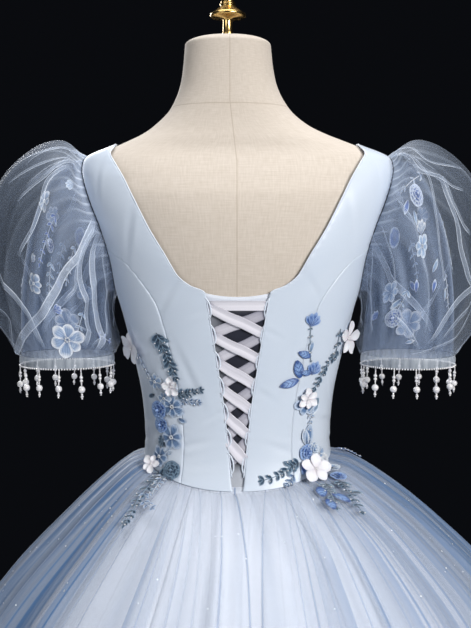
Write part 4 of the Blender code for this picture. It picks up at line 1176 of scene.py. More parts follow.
def ribbon_run(k, start, stop):
    """One run of the ribbon between two turns: rows of points across it, and how much painted shade darkens
    them.
    """
    turn_a, turn_b = (at * (edge_turn(up) + turn_of(RIBBON_PAST_EDGE, up)) for at, up in (start, stop))
    drop = stop[1] - start[1]
    run = (turn_b - turn_a) / turn_of(1.0, (start[1] + stop[1]) / 2)
    length = math.hypot(run, drop)
    full = RIBBON if drop == 0 else min(RIBBON * 1.06, 0.92 * LOOP_PITCH * abs(run) / length)
    over = drop == 0 or turn_b > turn_a
    across, up = (-drop / length, run / length) if run > 0 else (drop / length, -run / length)
    s = RIBBON_SHARES
    rows, shades = [], []
    for t in np.linspace(0.0, 1.0, 25):
        from_turn = min(t, 1 - t) * length
        flat, sunk = eased(ramp(from_turn, RIBBON_TURNED)), ramp(from_turn, RIBBON_SUNK)
        width = min(RIBBON_AT_LOOP, full) + (full - min(RIBBON_AT_LOOP, full)) * flat
        depth = END_DEPTH + ((OVER_DEPTH if over else UNDER_DEPTH) - END_DEPTH) * eased(sunk)
        tilt_across, tilt_up = across * flat, up * flat + (1 - flat)
        size = math.hypot(tilt_across, tilt_up)
        height = start[1] + drop * t + s * width * tilt_up / size
        turn = turn_a + (turn_b - turn_a) * t + turn_of(s * width * tilt_across / size, height)
        pleat = (1 - sunk) * 0.0005 * np.cos(5 * math.pi * s) + 0.00025 * np.cos(3.1 * math.pi * s + 1.7 * k)
        rows.append(skin(turn, height, depth - pleat))
        # Painted shade on the ribbon: its upper half, the runs that pass under (darker to the right), the
        # ends tucked under the edge and both edges
        painted_upper_shade = 0.20 * ramp(s - 0.02, 0.08)
        dark = 0.05 + painted_upper_shade if over else 0.66 - 0.44 * t + 0.5 * painted_upper_shade
        shades.append(np.clip(dark + 0.5 * (1 - sunk) + 0.35 * np.abs(2 * s) ** 6, 0, 1))
    return rows, shades


def make_ribbon(name, side, with_bar):
    """Half of the lacing ribbon, zigzagging down the opening: over going one way, under going back.

    Each turn is tucked under the laced edge, behind a loop.
    """
    stops = ribbon_stops(side, with_bar)
    runs = [ribbon_run(k, *ends) for k, ends in enumerate(zip(stops, stops[1:]))]
    grid, shade = (np.concatenate(parts) for parts in zip(*runs))
    made = sheet_object(name, grid, RIBBON_SATIN, INSIDE, thickness=RIBBON_WALL, fold=shade)
    stand_for(made, name, "ribbon")
    declare_cut(grid)


# ---------------------------------------------------------------- Skirt


def uneven(count, seed, share):
    """A repeatable run of factors around 1, one for each fold."""
    return 1 + share * np.random.default_rng(seed).uniform(-1, 1, count)


def rows_down(count, closeness, end=1.0):
    """Distances down the skirt from the waist, closer together near it."""
    return SKIRT_WAY[-1] * np.linspace(0, end, count) ** closeness


def round_folds(turn, factors, first):
    """Factors of the folds round the skirt, eased from one to the next; the first crest is at this turn."""
    at = (np.asarray(turn) - first) / (360 / len(factors))
    low = np.floor(at).astype(int)
    t = eased(at - low)
    return factors[low % len(factors)] * (1 - t) + factors[(low + 1) % len(factors)] * t


FIRST_GATHER = -3.0
FIRST_BASE_FOLD = -9.0
FIRST_BROAD_FOLD = 4.0
FIRST_SEAM = -1.0
TULLE_COLUMNS = 241
GATHER_HIGH = uneven(GATHERS, 7, 0.30)
BROAD_FOLDS = 26
BROAD_HIGH = uneven(BROAD_FOLDS, 13, 0.55)
WARP = np.random.default_rng(17).uniform(-1, 1, 24)
# How far a fold that starts at the waist at this turn has drifted, in degrees, where the skirt has opened out
DRIFT_TURNS = (-100, -54, -42, -33, -20, -8, 0, 13, 24, 33, 42, 55, 100)
DRIFT = (0, 0, 0, 6, 6.5, 0, -5, -12, -12.5, -10, -5, -4, 0)
DRIFT_WAY = 0.065
# Overlaps of the tulle on the back: turn at the waist, width in degrees, strength, crisp side, start and end
BACK_BANDS = (
    (-97.0, 3.0, 0.40, 1, -0.10, 2.0), (-90.0, 2.5, 0.46, -1, -0.10, 2.0), (-84.5, 2.6, 0.55, 1, -0.10, 1.6),
    (-79.0, 3.4, 0.75, 1, 0.00, 1.8), (-73.5, 2.4, 0.70, -1, -0.05, 1.4), (-68.5, 2.8, 0.80, 1, 0.00, 1.8),
    (-63.5, 2.0, 0.60, -1, -0.05, 1.2), (-59.0, 2.6, 0.72, 1, 0.00, 1.6), (-54.5, 1.8, 0.62, -1, 0.00, 1.0),
    (-50.0, 2.2, 0.50, 1, 0.02, 1.3), (-46.5, 0.9, 0.42, -1, 0.02, 0.6), (-34.0, 1.9, 0.62, 1, 0.00, 1.3),
    (-30.0, 0.8, 0.28, -1, 0.05, 0.6), (-25.0, 1.0, 0.44, -1, 0.00, 0.9), (-16.5, 2.4, 0.14, 1, 0.08, 0.7),
    (-8.5, 1.4, 0.22, 1, 0.00, 0.8), (4.0, 2.2, 0.12, -1, 0.04, 0.9), (13.0, 1.6, 0.26, 1, 0.00, 0.9),
    (21.0, 2.6, 0.14, -1, 0.05, 0.8), (27.0, 1.2, 0.26, 1, 0.00, 1.0), (31.5, 2.6, 0.50, -1, 0.04, 1.4),
    (37.0, 1.2, 0.30, 1, 0.00, 0.8), (42.5, 2.2, 0.44, -1, 0.02, 1.4), (47.5, 1.4, 0.30, 1, 0.02, 1.0),
    (52.5, 2.4, 0.40, -1, 0.00, 1.4), (58.5, 1.6, 0.34, 1, 0.00, 1.0), (64.0, 2.6, 0.48, -1, 0.00, 1.6),
    (70.5, 2.2, 0.46, 1, -0.05, 1.4), (76.5, 3.0, 0.62, -1, -0.05, 1.8), (83.0, 2.6, 0.50, 1, -0.10, 1.8),
    (89.0, 2.4, 0.46, -1, -0.10, 2.0), (96.0, 3.0, 0.40, 1, -0.10, 2.0),
)
# Single sharp pleats on the back: turn at the waist, strength, end
BACK_LINES = (
    (-88.0, 0.60, 1.6), (-81.5, 0.55, 0.8), (-76.0, 0.60, 1.3), (-71.0, 0.50, 0.7), (-66.0, 0.62, 1.4),
    (-61.0, 0.45, 0.9), (-57.0, 0.60, 1.2), (-52.0, 0.50, 0.8), (-48.5, 0.62, 1.2), (-44.5, 0.30, 0.4),
    (-41.0, 0.46, 0.9), (-37.5, 0.26, 0.3), (-32.0, 0.40, 0.8), (-28.0, 0.22, 0.3), (-22.5, 0.26, 0.5),
    (-19.5, 0.34, 0.9), (-13.0, 0.20, 0.3), (-7.5, 0.46, 0.9), (6.5, 0.16, 0.3), (13.0, 0.46, 0.6),
    (18.0, 0.20, 0.3), (23.0, 0.38, 0.8), (25.5, 0.52, 1.1), (29.0, 0.24, 0.4), (34.5, 0.40, 0.9),
    (37.5, 0.50, 1.0), (40.5, 0.30, 0.5), (43.5, 0.66, 1.3), (46.0, 0.34, 0.7), (50.0, 0.44, 1.0),
    (54.5, 0.50, 1.0), (60.5, 0.44, 0.9), (66.5, 0.52, 1.2), (73.0, 0.50, 1.0), (79.0, 0.55, 1.2),
    (86.0, 0.60, 1.4), (92.5, 0.60, 1.4),
)
FRONT_BANDS = 78
BACK_EDGE = 98.0
LINE_PAST_BAND = 1.6
BAND_CHANCE = np.random.default_rng(61)
BAND_SPREAD = BAND_CHANCE.uniform(-1.3, 1.3, FRONT_BANDS)
BAND_TURNS = np.linspace(BACK_EDGE + 2, 358 - BACK_EDGE, FRONT_BANDS) + BAND_SPREAD
FRONT_BAND_COLUMNS = (
    BAND_TURNS,
    BAND_CHANCE.uniform(0.8, 3.0, FRONT_BANDS),
    BAND_CHANCE.uniform(0.10, 0.55, FRONT_BANDS),
    np.where(BAND_CHANCE.uniform(0, 1, FRONT_BANDS) < 0.5, -1.0, 1.0),
    BAND_CHANCE.uniform(-0.10, 0.20, FRONT_BANDS),
    BAND_CHANCE.uniform(0.40, 1.80, FRONT_BANDS),
)
FRONT_LINE_COLUMNS = (
    BAND_TURNS[::2] + LINE_PAST_BAND,
    BAND_CHANCE.uniform(0.20, 0.60, FRONT_BANDS // 2),
    BAND_CHANCE.uniform(0.30, 1.30, FRONT_BANDS // 2),
)
BAND_TABLE = np.concatenate((BACK_BANDS, np.column_stack(FRONT_BAND_COLUMNS)))
LINE_TABLE = np.concatenate((BACK_LINES, np.column_stack(FRONT_LINE_COLUMNS)))


def crest(turn, count, first, power):
    """1 on the crest of each fold and 0 in the valleys between."""
    phase = np.radians((turn - first) * count)
    return ((1 + np.cos(phase)) / 2) ** power


def wrapped(turn):
    return np.mod(turn + 180, 360) - 180


def drifted(at_waist, way):
    """The turn, further down, of a fold that starts at this turn at the waist."""
    drift = np.interp(wrapped(at_waist), DRIFT_TURNS, DRIFT)
    return at_waist + drift * (1 - np.exp(-way / DRIFT_WAY))


def waist_turn(turn, way):
    """The turn at the waist from which the fold at this place comes."""
    found = turn
    for _ in range(6):
        found = found + 0.7 * (turn - drifted(found, way))
    return found


GATHERS_END = 0.22
FINE_END = 0.04
FINE_START = 0.010


def tulle_lift(turn, way):
    """The tulle's height over the skirt's smooth form: fine gathers at the waist, broad folds below."""
    fold = smooth(way, SKIRT_WAY, SKIRT["fold"])
    warp = 1.6 * round_folds(turn, WARP, 0.0)
    upper = np.exp(-way / GATHERS_END)
    warped = turn + warp + 0.5 * np.sin(way * 5.0 + np.radians(turn * 7))
    gathers = round_folds(turn, GATHER_HIGH, FIRST_GATHER)
    gathers = gathers * (1.3 * crest(warped, GATHERS, FIRST_GATHER, 1.3) - 0.5)
    broad_at = waist_turn(turn, way) + warp + 1.5 * np.sin(way * 2.2 + np.radians(turn * 3))
    broad = round_folds(turn, BROAD_HIGH, FIRST_BROAD_FOLD)
    broad = broad * (1.2 * crest(broad_at, BROAD_FOLDS, FIRST_BROAD_FOLD, 1.0) - 0.5)
    fine = crest(warped, 3 * GATHERS, 0.7, 1.0) - 0.5
    finest = crest(turn + 0.3, 5 * GATHERS, 1.3, 1.0) - 0.5
    small = np.exp(-way / FINE_END) * (0.0004 * fine + 0.0002 * finest) * ramp(way, FINE_START)
    return fold * (0.42 * upper * gathers + (1 - upper) * 0.95 * broad) + small


# A band's crisp side and a sharp pleat, in degrees
CRISP_EDGE = 0.20
LINE_HALF = 0.24


def fold_share(turn, way):
    """How dense the folded tulle looks: painted shade that deepens towards its sides, most on the left, then
    bands with one crisp edge, sharp pleats and fine gathers on top.
    """
    # Painted shade: the base density grows towards both sides, strongest round the left side, away from the
    # key light
    leftward = np.sin(np.radians(turn)) < 0
    aside = np.abs(np.sin(np.radians(turn)))
    edge = bell(np.abs(wrapped(turn)) - 66, 15)
    total = np.where(leftward, 0.07 * aside + 0.28 * aside**2.4 + 0.30 * edge, 0.42 * aside**0.95)
    for centre, width, strength, side, start, end in BAND_TABLE:
        x = side * wrapped(turn - drifted(centre, way))
        broad = width * (1 + 0.25 * np.sin(7 * way + centre))
        shape = np.where(x >= 0, np.exp(-(np.abs(x / broad) ** 1.6)), np.clip(1 + x / CRISP_EDGE, 0, 1))
        total = total + 0.9 * strength * shape * ramp(way - start, 0.10) * ramp(end - way, 0.5)
    for centre, strength, end in LINE_TABLE:
        x = wrapped(turn - drifted(centre, way))
        total = total + strength * bell(x, LINE_HALF) * ramp(end - way, 0.3)
    fine = crest(turn + 0.6 * round_folds(turn, WARP, 0.0), 3 * GATHERS, 0.7, 2.0) * np.exp(-way / 0.05)
    return np.clip(total + 0.10 * fine, 0, 1)


TULLE_TUCK = 0.0022
BASE_TUCK = 0.0034
TUCK_HEIGHT = 0.0045
BASE_WALL = 0.0010
# Metres to a degree round the skirt: at the waist, and gained for each metre down
DEGREE_AT_WAIST = 0.0021
DEGREE_GAIN = 0.008
SEAM_DIP = 0.0010
SEAM_WIDTH = 0.0012
SEAM_SHADE = 0.7
SEAM_SHADE_WIDTH = 0.0009


def skirt_grid(turns, way, lift):
    """The skirt's smooth form at these turns and distances, lifted by a grid of heights over it."""
    return lifted(smooth(way, SKIRT_WAY, skirt_control(turns)), lift, SKIRT_MIDDLE)


def tucked(grid, turns, depth):
    """The skirt's grid with its seam allowance, turned up under the bodice."""
    allowance = skin(turns, waist_height(turns) + TUCK_HEIGHT, depth)
    return np.concatenate([allowance[None], grid])


def make_tulle():
    """The over-skirt's widths, with a seam where two meet, darker down the centre back."""
    rows = rows_down(74, 1.7)
    for k in range(WIDTHS):
        turns = FIRST_SEAM + 360 / WIDTHS * (k + np.linspace(0, 1, TULLE_COLUMNS))
        turn, way = np.meshgrid(turns, rows)
        from_seam = np.minimum(turn - turns[0], turns[-1] - turn) * DEGREE_AT_WAIST * (1 + 4 * way)
        lift = tulle_lift(turn, way) - SEAM_DIP * bell(from_seam, SEAM_WIDTH)
        grid = skirt_grid(turns, rows, lift)
        grid[-1, :, 2] = SKIRT["height"][-1]
        fold = fold_share(turn, way)
        if k in (0, WIDTHS - 1):
            from_back = turn - turns[0] if k == 0 else turns[-1] - turn
            from_back = from_back * (DEGREE_AT_WAIST + DEGREE_GAIN * way)
            fold = np.maximum(fold, SEAM_SHADE * bell(from_back, SEAM_SHADE_WIDTH))
        grid, fold = tucked(grid, turns, TULLE_TUCK), np.concatenate([fold[:1], fold])
        name = f"skirt_tulle_{k + 1}"
        made = sheet_object(name, grid, TULLE, SKIRT_MIDDLE, fold=fold)
        stand_for(made, name, "tulle")
        declare_cut(grid)

UNDER_FOLDS = 44
FIRST_UNDER_FOLD = 2.0
TULLE_VALLEY = 0.50
BASE_CREST = 0.42


def make_under_tulle():
    """The soft inner layer, in the space between the over-skirt's valleys and the under-skirt's crests."""
    turns = np.arange(0, 360, 0.5)
    rows = rows_down(56, 1.6, 0.995)
    turn, way = np.meshgrid(turns, rows)
    fold = smooth(way, SKIRT_WAY, SKIRT["fold"])
    inset = smooth(way, SKIRT_WAY, SKIRT["inset"])
    high = round_folds(turn, uneven(UNDER_FOLDS, 31, 0.5), FIRST_UNDER_FOLD)
    top = crest(turn + 1.1 * np.sin(way * 4 + np.radians(5 * turn)), UNDER_FOLDS, FIRST_UNDER_FOLD, 0.9)
    middle = -(TULLE_VALLEY * fold + inset - BASE_CREST * fold) / 2
    gap = (inset - BASE_CREST * fold - TULLE_VALLEY * fold) / 2
    grid = skirt_grid(turns, rows, middle + np.maximum(gap, 0) * 0.8 * high * (top - 0.5))
    streak = round_folds(turn, np.random.default_rng(37).uniform(0, 1, UNDER_FOLDS), FIRST_UNDER_FOLD)
    # Painted shade: denser and bluer towards the sides, where the skirt turns away; the fold streaks and
    # waist gathers are real density
    aside = 0.25 + 0.65 * np.abs(np.sin(np.radians(turn))) ** 1.5
    shade = np.clip(aside * np.clip(1 - top / 0.5, 0, 1) * streak + 0.08 * np.exp(-way / 0.1), 0, 1)
    made = sheet_object("skirt_under_tulle", grid, UNDER_TULLE, SKIRT_MIDDLE, wrap=True, fold=shade)
    declare_cut(closed(grid))


FIRST_GORE = 21.0


def make_base_skirt():
    """The satin under-skirt's gores, with soft round folds."""
    rows = rows_down(44, 1.5)
    for k in range(WIDTHS):
        turns = FIRST_GORE + 360 / WIDTHS * k + np.linspace(0, 360 / WIDTHS, 52)
        turn, way = np.meshgrid(turns, rows)
        fold = smooth(way, SKIRT_WAY, SKIRT["fold"]) * BASE_CREST
        lift = fold * (1.5 * crest(turn, BASE_FOLDS, FIRST_BASE_FOLD, 1.3) - 0.5)
        grid = skirt_grid(turns, rows, lift - smooth(way, SKIRT_WAY, SKIRT["inset"]))
        grid[0] = skirt_control(turns)[0] - np.array((0, 0, WAIST_TUCK))
        grid[-1, :, 2] = SKIRT["height"][-1]
        grid = tucked(grid, turns, BASE_TUCK)
        name = f"skirt_base_{k + 1}"
        made = sheet_object(name, grid, BASE_SATIN, SKIRT_MIDDLE, thickness=BASE_WALL)
        stand_for(made, name, "skirt_satin")
        declare_cut(grid)


GLITTER_COUNT = 1500
GLITTER_RADII = (0.0007, 0.0014)
GLITTER_MARGIN = 0.03
GLITTER_STAND = 0.0004
GLITTER_STEP = 0.2
GLITTER_ANGLES = np.arange(6) * math.pi / 3
GLITTER_UV = [(0.5 + 0.5 * math.cos(a), 0.5 + 0.5 * math.sin(a)) for a in GLITTER_ANGLES]


def make_glitter():
    """Tiny six-sided foil pieces scattered over the tulle, denser low on the skirt."""
    chance = np.random.default_rng(41)
    cluster = Cluster()
    turn = chance.uniform(0, 360, GLITTER_COUNT)
    span = SKIRT_WAY[-1] - 2 * GLITTER_MARGIN
    way = GLITTER_MARGIN + span * chance.uniform(0, 1, GLITTER_COUNT) ** 0.75
    size = chance.uniform(*GLITTER_RADII, GLITTER_COUNT)
    lean = chance.uniform(-0.5, 0.5, (GLITTER_COUNT, 3))
    here = skirt_each(turn, way)
    side = skirt_each(turn + GLITTER_STEP, way) - here
    down = skirt_each(turn, way + WAY_STEP) - here
    normal = unit(np.cross(down, side))
    normal *= np.sign((normal * (here - np.array(SKIRT_MIDDLE))).sum(axis=1, keepdims=True))
    centre = here + normal * (tulle_lift(turn, way) + GLITTER_STAND)[:, None]
    for i in range(GLITTER_COUNT):
        up = unit(normal[i] + lean[i])
        a = unit(np.cross(up, (0.0, 0.0, 1.0)))
        b = np.cross(up, a)
        corners = [centre[i] + size[i] * (a * math.cos(w) + b * math.sin(w)) for w in GLITTER_ANGLES]
        cluster.add(corners, [(0, 1, 2, 3, 4, 5)], GLITTER_UV)
    cluster.make("skirt_glitter", [GLITTER])


# ---------------------------------------------------------------- Sleeves

PUFF_FOLDS = 11
PUFF_FOLD_TWIST = 26.0
# Sharp folds of the crisp organza: width of the doubled band, height of its ridge, then its points, each as
# the place round the sleeve (0 on top, 90 at the back) and the share of its length
LEFT_FOLDS = (
    (0.0050, 0.0040, ((4, 0.0), (22, 0.08), (31, 0.20), (29, 0.32))),
    (0.0040, 0.0050, ((24, 0.0), (38, 0.07), (42, 0.185), (41, 0.265), (37, 0.36))),
    (0.0050, 0.0055, ((36, 0.0), (49, 0.17), (55, 0.25), (55, 0.36))),
    (0.0060, 0.0060, ((48, 0.10), (58, 0.22), (71, 0.29), (77, 0.385), (75, 0.50))),
    (0.0110, 0.0065, ((84, 0.0), (98, 0.105), (109, 0.25), (108, 0.44), (96, 0.685), (54, 0.92), (24, 1.0))),
    (0.0040, 0.0040, ((98, 0.06), (114, 0.275), (120, 0.375), (114, 0.53))),
    (0.0090, 0.0050, ((54, 0.60), (75, 0.70), (83, 0.78), (82, 0.92))),
    (0.0050, 0.0045, ((40, 0.76), (59, 0.80), (49, 0.88), (27, 1.0))),
    (0.0030, 0.0035, ((114, 0.60), (122, 0.67), (138, 0.68))),
    (0.0035, 0.0040, ((102, 0.0), (150, 0.14), (158, 0.36), (155, 0.60), (128, 0.90))),
    (0.0100, 0.0035, ((92, 0.02), (112, 0.22), (132, 0.42), (134, 0.66), (124, 0.86))),
    (0.0120, 0.0040, ((96, 0.03), (130, 0.20), (146, 0.42), (148, 0.70), (136, 0.94))),
    (0.0018, 0.0030, ((14, 0.02), (27, 0.13), (36, 0.28))),
    (0.0020, 0.0030, ((30, 0.03), (45, 0.13), (50, 0.30))),
)
RIGHT_FOLDS = (
    (0.0050, 0.0055, ((10, 0.0), (36, 0.10), (53, 0.195), (50, 0.305), (44, 0.36))),
    (0.0035, 0.0050, ((0, 0.03), (30, 0.13), (41, 0.21), (32, 0.32))),
    (0.0070, 0.0055, ((50, 0.27), (60, 0.36), (62, 0.42), (58, 0.48))),
    (0.0065, 0.0060, ((52, 0.26), (64, 0.36), (71, 0.50), (69, 0.60), (64, 0.68))),
    (0.0090, 0.0055, ((58, 0.62), (70, 0.68), (80, 0.76), (86, 0.90))),
    (0.0045, 0.0045, ((58, 0.70), (68, 0.79), (74, 0.88))),
    (0.0060, 0.0050, ((128, 0.55), (112, 0.765), (96, 0.92))),
    (0.0030, 0.0035, ((124, 0.60), (105, 0.855))),
    (0.0060, 0.0045, ((56, 0.76), (61, 0.88), (80, 0.95), (104, 0.98))),
    (0.0030, 0.0045, ((30, 0.06), (54, 0.215), (74, 0.31), (86, 0.44), (88, 0.60))),
    (0.0030, 0.0035, ((100, 0.0), (146, 0.16), (154, 0.40), (150, 0.66))),
    (0.0022, 0.0035, ((90, 0.02), (112, 0.20), (128, 0.44), (126, 0.70))),
    (0.0018, 0.0030, ((20, 0.02), (38, 0.12), (48, 0.24))),
    (0.0022, 0.0035, ((70, 0.04), (84, 0.20), (98, 0.40), (100, 0.62), (96, 0.84))),
)
# The hidden halves' folds, for both sleeves
HIDDEN_FOLDS = (
    (0.0050, 0.0050, ((-10, 0.0), (-24, 0.10), (-38, 0.22), (-36, 0.36))),
    (0.0070, 0.0060, ((-30, 0.0), (-56, 0.14), (-72, 0.30), (-70, 0.48))),
    (0.0100, 0.0060, ((-84, 0.02), (-104, 0.18), (-108, 0.42), (-92, 0.66), (-60, 0.90))),
    (0.0060, 0.0050, ((-50, 0.58), (-66, 0.70), (-78, 0.84), (-76, 0.96))),
    (0.0040, 0.0040, ((-118, 0.10), (-134, 0.30), (-128, 0.52))),
    (0.0050, 0.0045, ((-110, 0.60), (-92, 0.78), (-84, 0.94))),
    (0.0040, 0.0040, ((-150, 0.12), (-158, 0.40), (-146, 0.66))),
)
FOLD_REACH = 0.017
STRIP_SHARES = np.array((-0.5, -0.44, -0.36, 0.0, 0.36, 0.44, 0.5))
STRIP_DENSITY = np.array((0.15, 1.0, 0.20, 0.12, 0.18, 0.85, 0.15))
RIDGE = 0.6
FINE_GATHERS = 44
FINE_GATHER_HEIGHT = 0.0014
CROSSING_HEIGHT = 0.0012
# Columns and rows of each sleeve layer
PUFF_CELLS = (330, 120)
NET_CELLS = (160, 56)
NET_RIPPLE = 0.0013
NET_SCALE = 0.95
NET_INSET = 0.0024


def fold_path(points, count=26):
    return held(np.linspace(0, len(points) - 1, count), points)


def path_distance(around, share, girth, length, path):
    """Distances in metres of cloth from these places to a fold's path."""
    nearest = np.full(around.shape, 1e9)
    for at, down in path:
        aside = wrapped(around - at) / 360 * girth
        nearest = np.minimum(nearest, np.hypot(aside, (share - down) * length))
    return nearest


def ridged(phase):
    """A wave with sharp crests and round valleys, from -0.7 to 1.3."""
    return 2 * (1 - np.abs(np.sin(phase / 2))) ** 1.5 - 0.7


def broad_folds(around, share):
    twist = np.radians(PUFF_FOLDS * around + PUFF_FOLD_TWIST * share)
    return ridged(twist + 0.5 * np.sin(5 * share + np.radians(2 * around)))


def fine_gathers(around):
    return ridged(np.radians(FINE_GATHERS * around) + 0.8 * np.sin(np.radians(5 * around)))


def puff_relief(folds, seed):
    """The puff's height over its smooth form: gathers at both ends, broad billows and sharp ridges."""
    factors = uneven(PUFF_FOLDS, seed, 0.35)
    paths = [(RIDGE * height, fold_path(points)) for _, height, points in folds]
    heights = [0.0] + [row[5] for row in PUFF] + [0.0]

    def relief(around, share, girth, length):
        fold = np.interp(share, np.linspace(0, 1, len(heights)), heights)
        under = 1 - 0.55 * np.maximum(0.0, -np.cos(np.radians(around)))
        high = 0.42 * fold * under * round_folds(around, factors, 0.0) * broad_folds(around, share)
        crossing = ridged(np.radians(7 * around) + 9.0 * share + seed) * np.sin(math.pi * share)
        ends = np.exp(-share / 0.05) + np.exp(-(1 - share) / 0.04)
        edge = ramp(share, 0.03) * ramp(1 - share, 0.02)
        high = high + CROSSING_HEIGHT * crossing + ends * edge * FINE_GATHER_HEIGHT * fine_gathers(around)
        for height, path in paths:
            away = path_distance(around, share, girth, length, path)
            ridge = np.clip(1 - away / FOLD_REACH, 0, 1) ** 1.3 - 0.4 * bell(away, 0.04)
            high = high + edge * height * ridge
        return high

    return relief


def puff_density(around, share):
    """How dense the gathered organza looks, apart from its doubled bands."""
    lines = np.clip(fine_gathers(around), 0, 1)
    ends = 0.9 * np.exp(-share / 0.07) + 0.8 * np.exp(-(1 - share) / 0.04)
    cap = np.exp(-share / 0.15) * np.clip(np.cos(np.radians(around - 40)), 0, 1) ** 1.2
    broad = np.clip(broad_folds(around, share) - 0.7, 0, 1)
    return np.clip(ends * (0.10 + 0.30 * lines) + cap * (0.36 + 0.30 * lines) + 0.08 * broad, 0, 1)


def fold_strip(surface, width, places):
    """A doubled band along one sharp fold: rows of points, their UVs and their densities."""
    path = fold_path(places, 60)
    around, share = path.T
    here, across = surface(around, share), surface(around + TURN_STEP, share)
    down = surface(around, share + np.where(share > 0.5, -WAY_STEP, WAY_STEP))
    a_step = np.linalg.norm(across - here, axis=1) / TURN_STEP
    b_step = np.linalg.norm(down - here, axis=1) / WAY_STEP
    flat = unit(np.gradient(path, axis=0) * np.stack((a_step, b_step), axis=1))
    t = np.linspace(0, 1, len(path))
    wide = width * (0.25 + 0.75 * np.sin(math.pi * np.clip(0.12 + 0.80 * t, 0, 1)) ** 0.6)
    aside = wide[:, None] * STRIP_SHARES
    around = path[:, :1] - flat[:, 1:] * aside / a_step[:, None]
    share = np.clip(path[:, 1:] + flat[:, :1] * aside / b_step[:, None], 0, 1)
    lift = np.broadcast_to(0.0006 + 0.0003 * (1 - (2 * STRIP_SHARES) ** 2), around.shape)
    points = surface(around.ravel(), share.ravel(), lift.ravel())
    along = np.broadcast_to(0.002 * np.arange(1, len(path) + 1)[:, None], around.shape)
    fade = np.clip(np.minimum(t, 1 - t) / 0.10, 0.25, 1)
    body = np.interp(width, (0.006, 0.011), (0.0, 0.20))
    density = fade[:, None] * np.maximum(STRIP_DENSITY, 0.12 + body)
    return points, np.stack((aside, along), axis=-1).reshape(-1, 2), density.ravel()


def make_folds(name, surface, folds):
    """The doubled bands along the puff's sharp folds."""
    strips = [fold_strip(surface, width, places) for width, _, places in folds]
    points, uv, density = (np.concatenate(parts) for parts in zip(*strips))
    columns = len(STRIP_SHARES)
    strip_cells = grid_cells(len(strips[0][0]) // columns, columns, False, False)[0]
    cells = np.concatenate([strip_cells + k * len(strips[0][0]) for k in range(len(strips))])
    add_object(name, points, cells, ORGANZA, uv[cells], {"fold": density})


def net_relief(around, share, girth, length):
    waves = np.cos(np.radians(13 * around) + 0.4 * np.sin(4 * share))
    waves = waves + 0.5 * np.cos(np.radians(23 * around + 60))
    return NET_RIPPLE * waves * np.sin(math.pi * np.clip(share, 0, 1)) ** 0.5


def net_density(around, share):
    return np.clip(0.16 + 170 * net_relief(around, share, 0, 0), 0, 1)


def make_layer(name, surface, side, size, looks, density):
    """A sleeve layer through its surface, as a wrapped grid of this many columns and rows."""
    columns, rows = size
    around, share = np.meshgrid(np.arange(columns) * 360 / columns, np.linspace(0, 1, rows))
    grid = surface(around.ravel(), share.ravel()).reshape(rows, columns, 3)
    inside = mirrored(SLEEVE_MIDDLE, side)
    material, slot = looks
    made = sheet_object(name, grid, material, inside, wrap=True, fold=density(around, share))
    stand_for(made, name, slot)
    declare_cut(closed(grid))


BAND_INSET = 0.0010
RUCHES = 47
RUCHE_HEIGHT = 0.0006


def make_band(side, word):
    """The narrow ruched band at the cuff."""
    around = np.arange(144) * 2.5
    rows = []
    for i, height in enumerate(np.linspace(CUFF_TOP, CUFF_TOP - BAND_HEIGHT, 11)):
        row = ring(cuff(BAND_INSET, height), around)
        ruche = 1 + 0.4 * np.sin(np.radians(RUCHES * around) + 0.6 * i)
        bulge = RUCHE_HEIGHT * math.sin(math.pi * i / 10) * ruche
        rows.append(row + unit(row - (CUFF_OUT, 0.0, height)) * bulge[:, None])
    grid = mirrored(np.array(rows), side)
    centre = (CUFF_OUT * side, 0.0, CUFF_TOP - BAND_HEIGHT / 2)
    ruching = 0.36 + 0.11 * np.sin(np.radians(RUCHES * around)) + 0.12 * np.sin(np.radians(29 * around))
    ruching = np.broadcast_to(np.clip(ruching, 0, 1), grid.shape[:2])
    name = f"sleeve_band_{word}"
    made = sheet_object(name, grid, BAND_CLOTH, centre, wrap=True, fold=ruching)
    stand_for(made, name, "organza")
    declare_cut(closed(grid))


def make_sleeve(side, word):
    folds = (LEFT_FOLDS if side < 0 else RIGHT_FOLDS) + HIDDEN_FOLDS
    puff = sleeve_surface(PUFF, 1.0, 0.0, side, puff_relief(folds, 5 if side > 0 else 6))
    net = sleeve_surface(NET_SLEEVE, NET_SCALE, NET_INSET, side, net_relief)
    puff_name, net_name, band_name = (f"sleeve_{layer}_{word}" for layer in ("puff", "net", "band"))
    make_layer(puff_name, puff, side, PUFF_CELLS, (ORGANZA, "organza"), puff_density)
    make_folds(f"sleeve_folds_{word}", puff, folds)
    make_layer(net_name, net, side, NET_CELLS, (NET, "net"), net_density)
    make_embroidery(net, side, word)
    make_band(side, word)


# A strand's beads: drop under the band, radius
STRAND = (
    (0.0016, 0.0011), (0.0036, 0.0010), (0.0056, 0.0010), (0.0076, 0.0011), (0.0106, 0.0022),
    (0.0146, 0.0021), (0.0176, 0.0011), (0.0196, 0.0010), (0.0254, 0.0043), (0.0312, 0.0014),
    (0.0338, 0.0019), (0.0364, 0.0011),
)
FRINGE_TOP = CUFF_TOP - BAND_HEIGHT - 0.0004
FRINGE_INSET = 0.0012
STRAND_RADIUS = 0.0003
SWAY = 0.05
TAPE_BEADS = 112
TAPE_BEAD_RADIUS = 0.0012
TAPE_INSET = 0.0006
TAPE_DROP = 0.0002


def strand_place(at, inset, height):
    """A point on the cuff's lower edge, at this place round it."""
    return ring(cuff(inset, height), np.array([at]))[0]


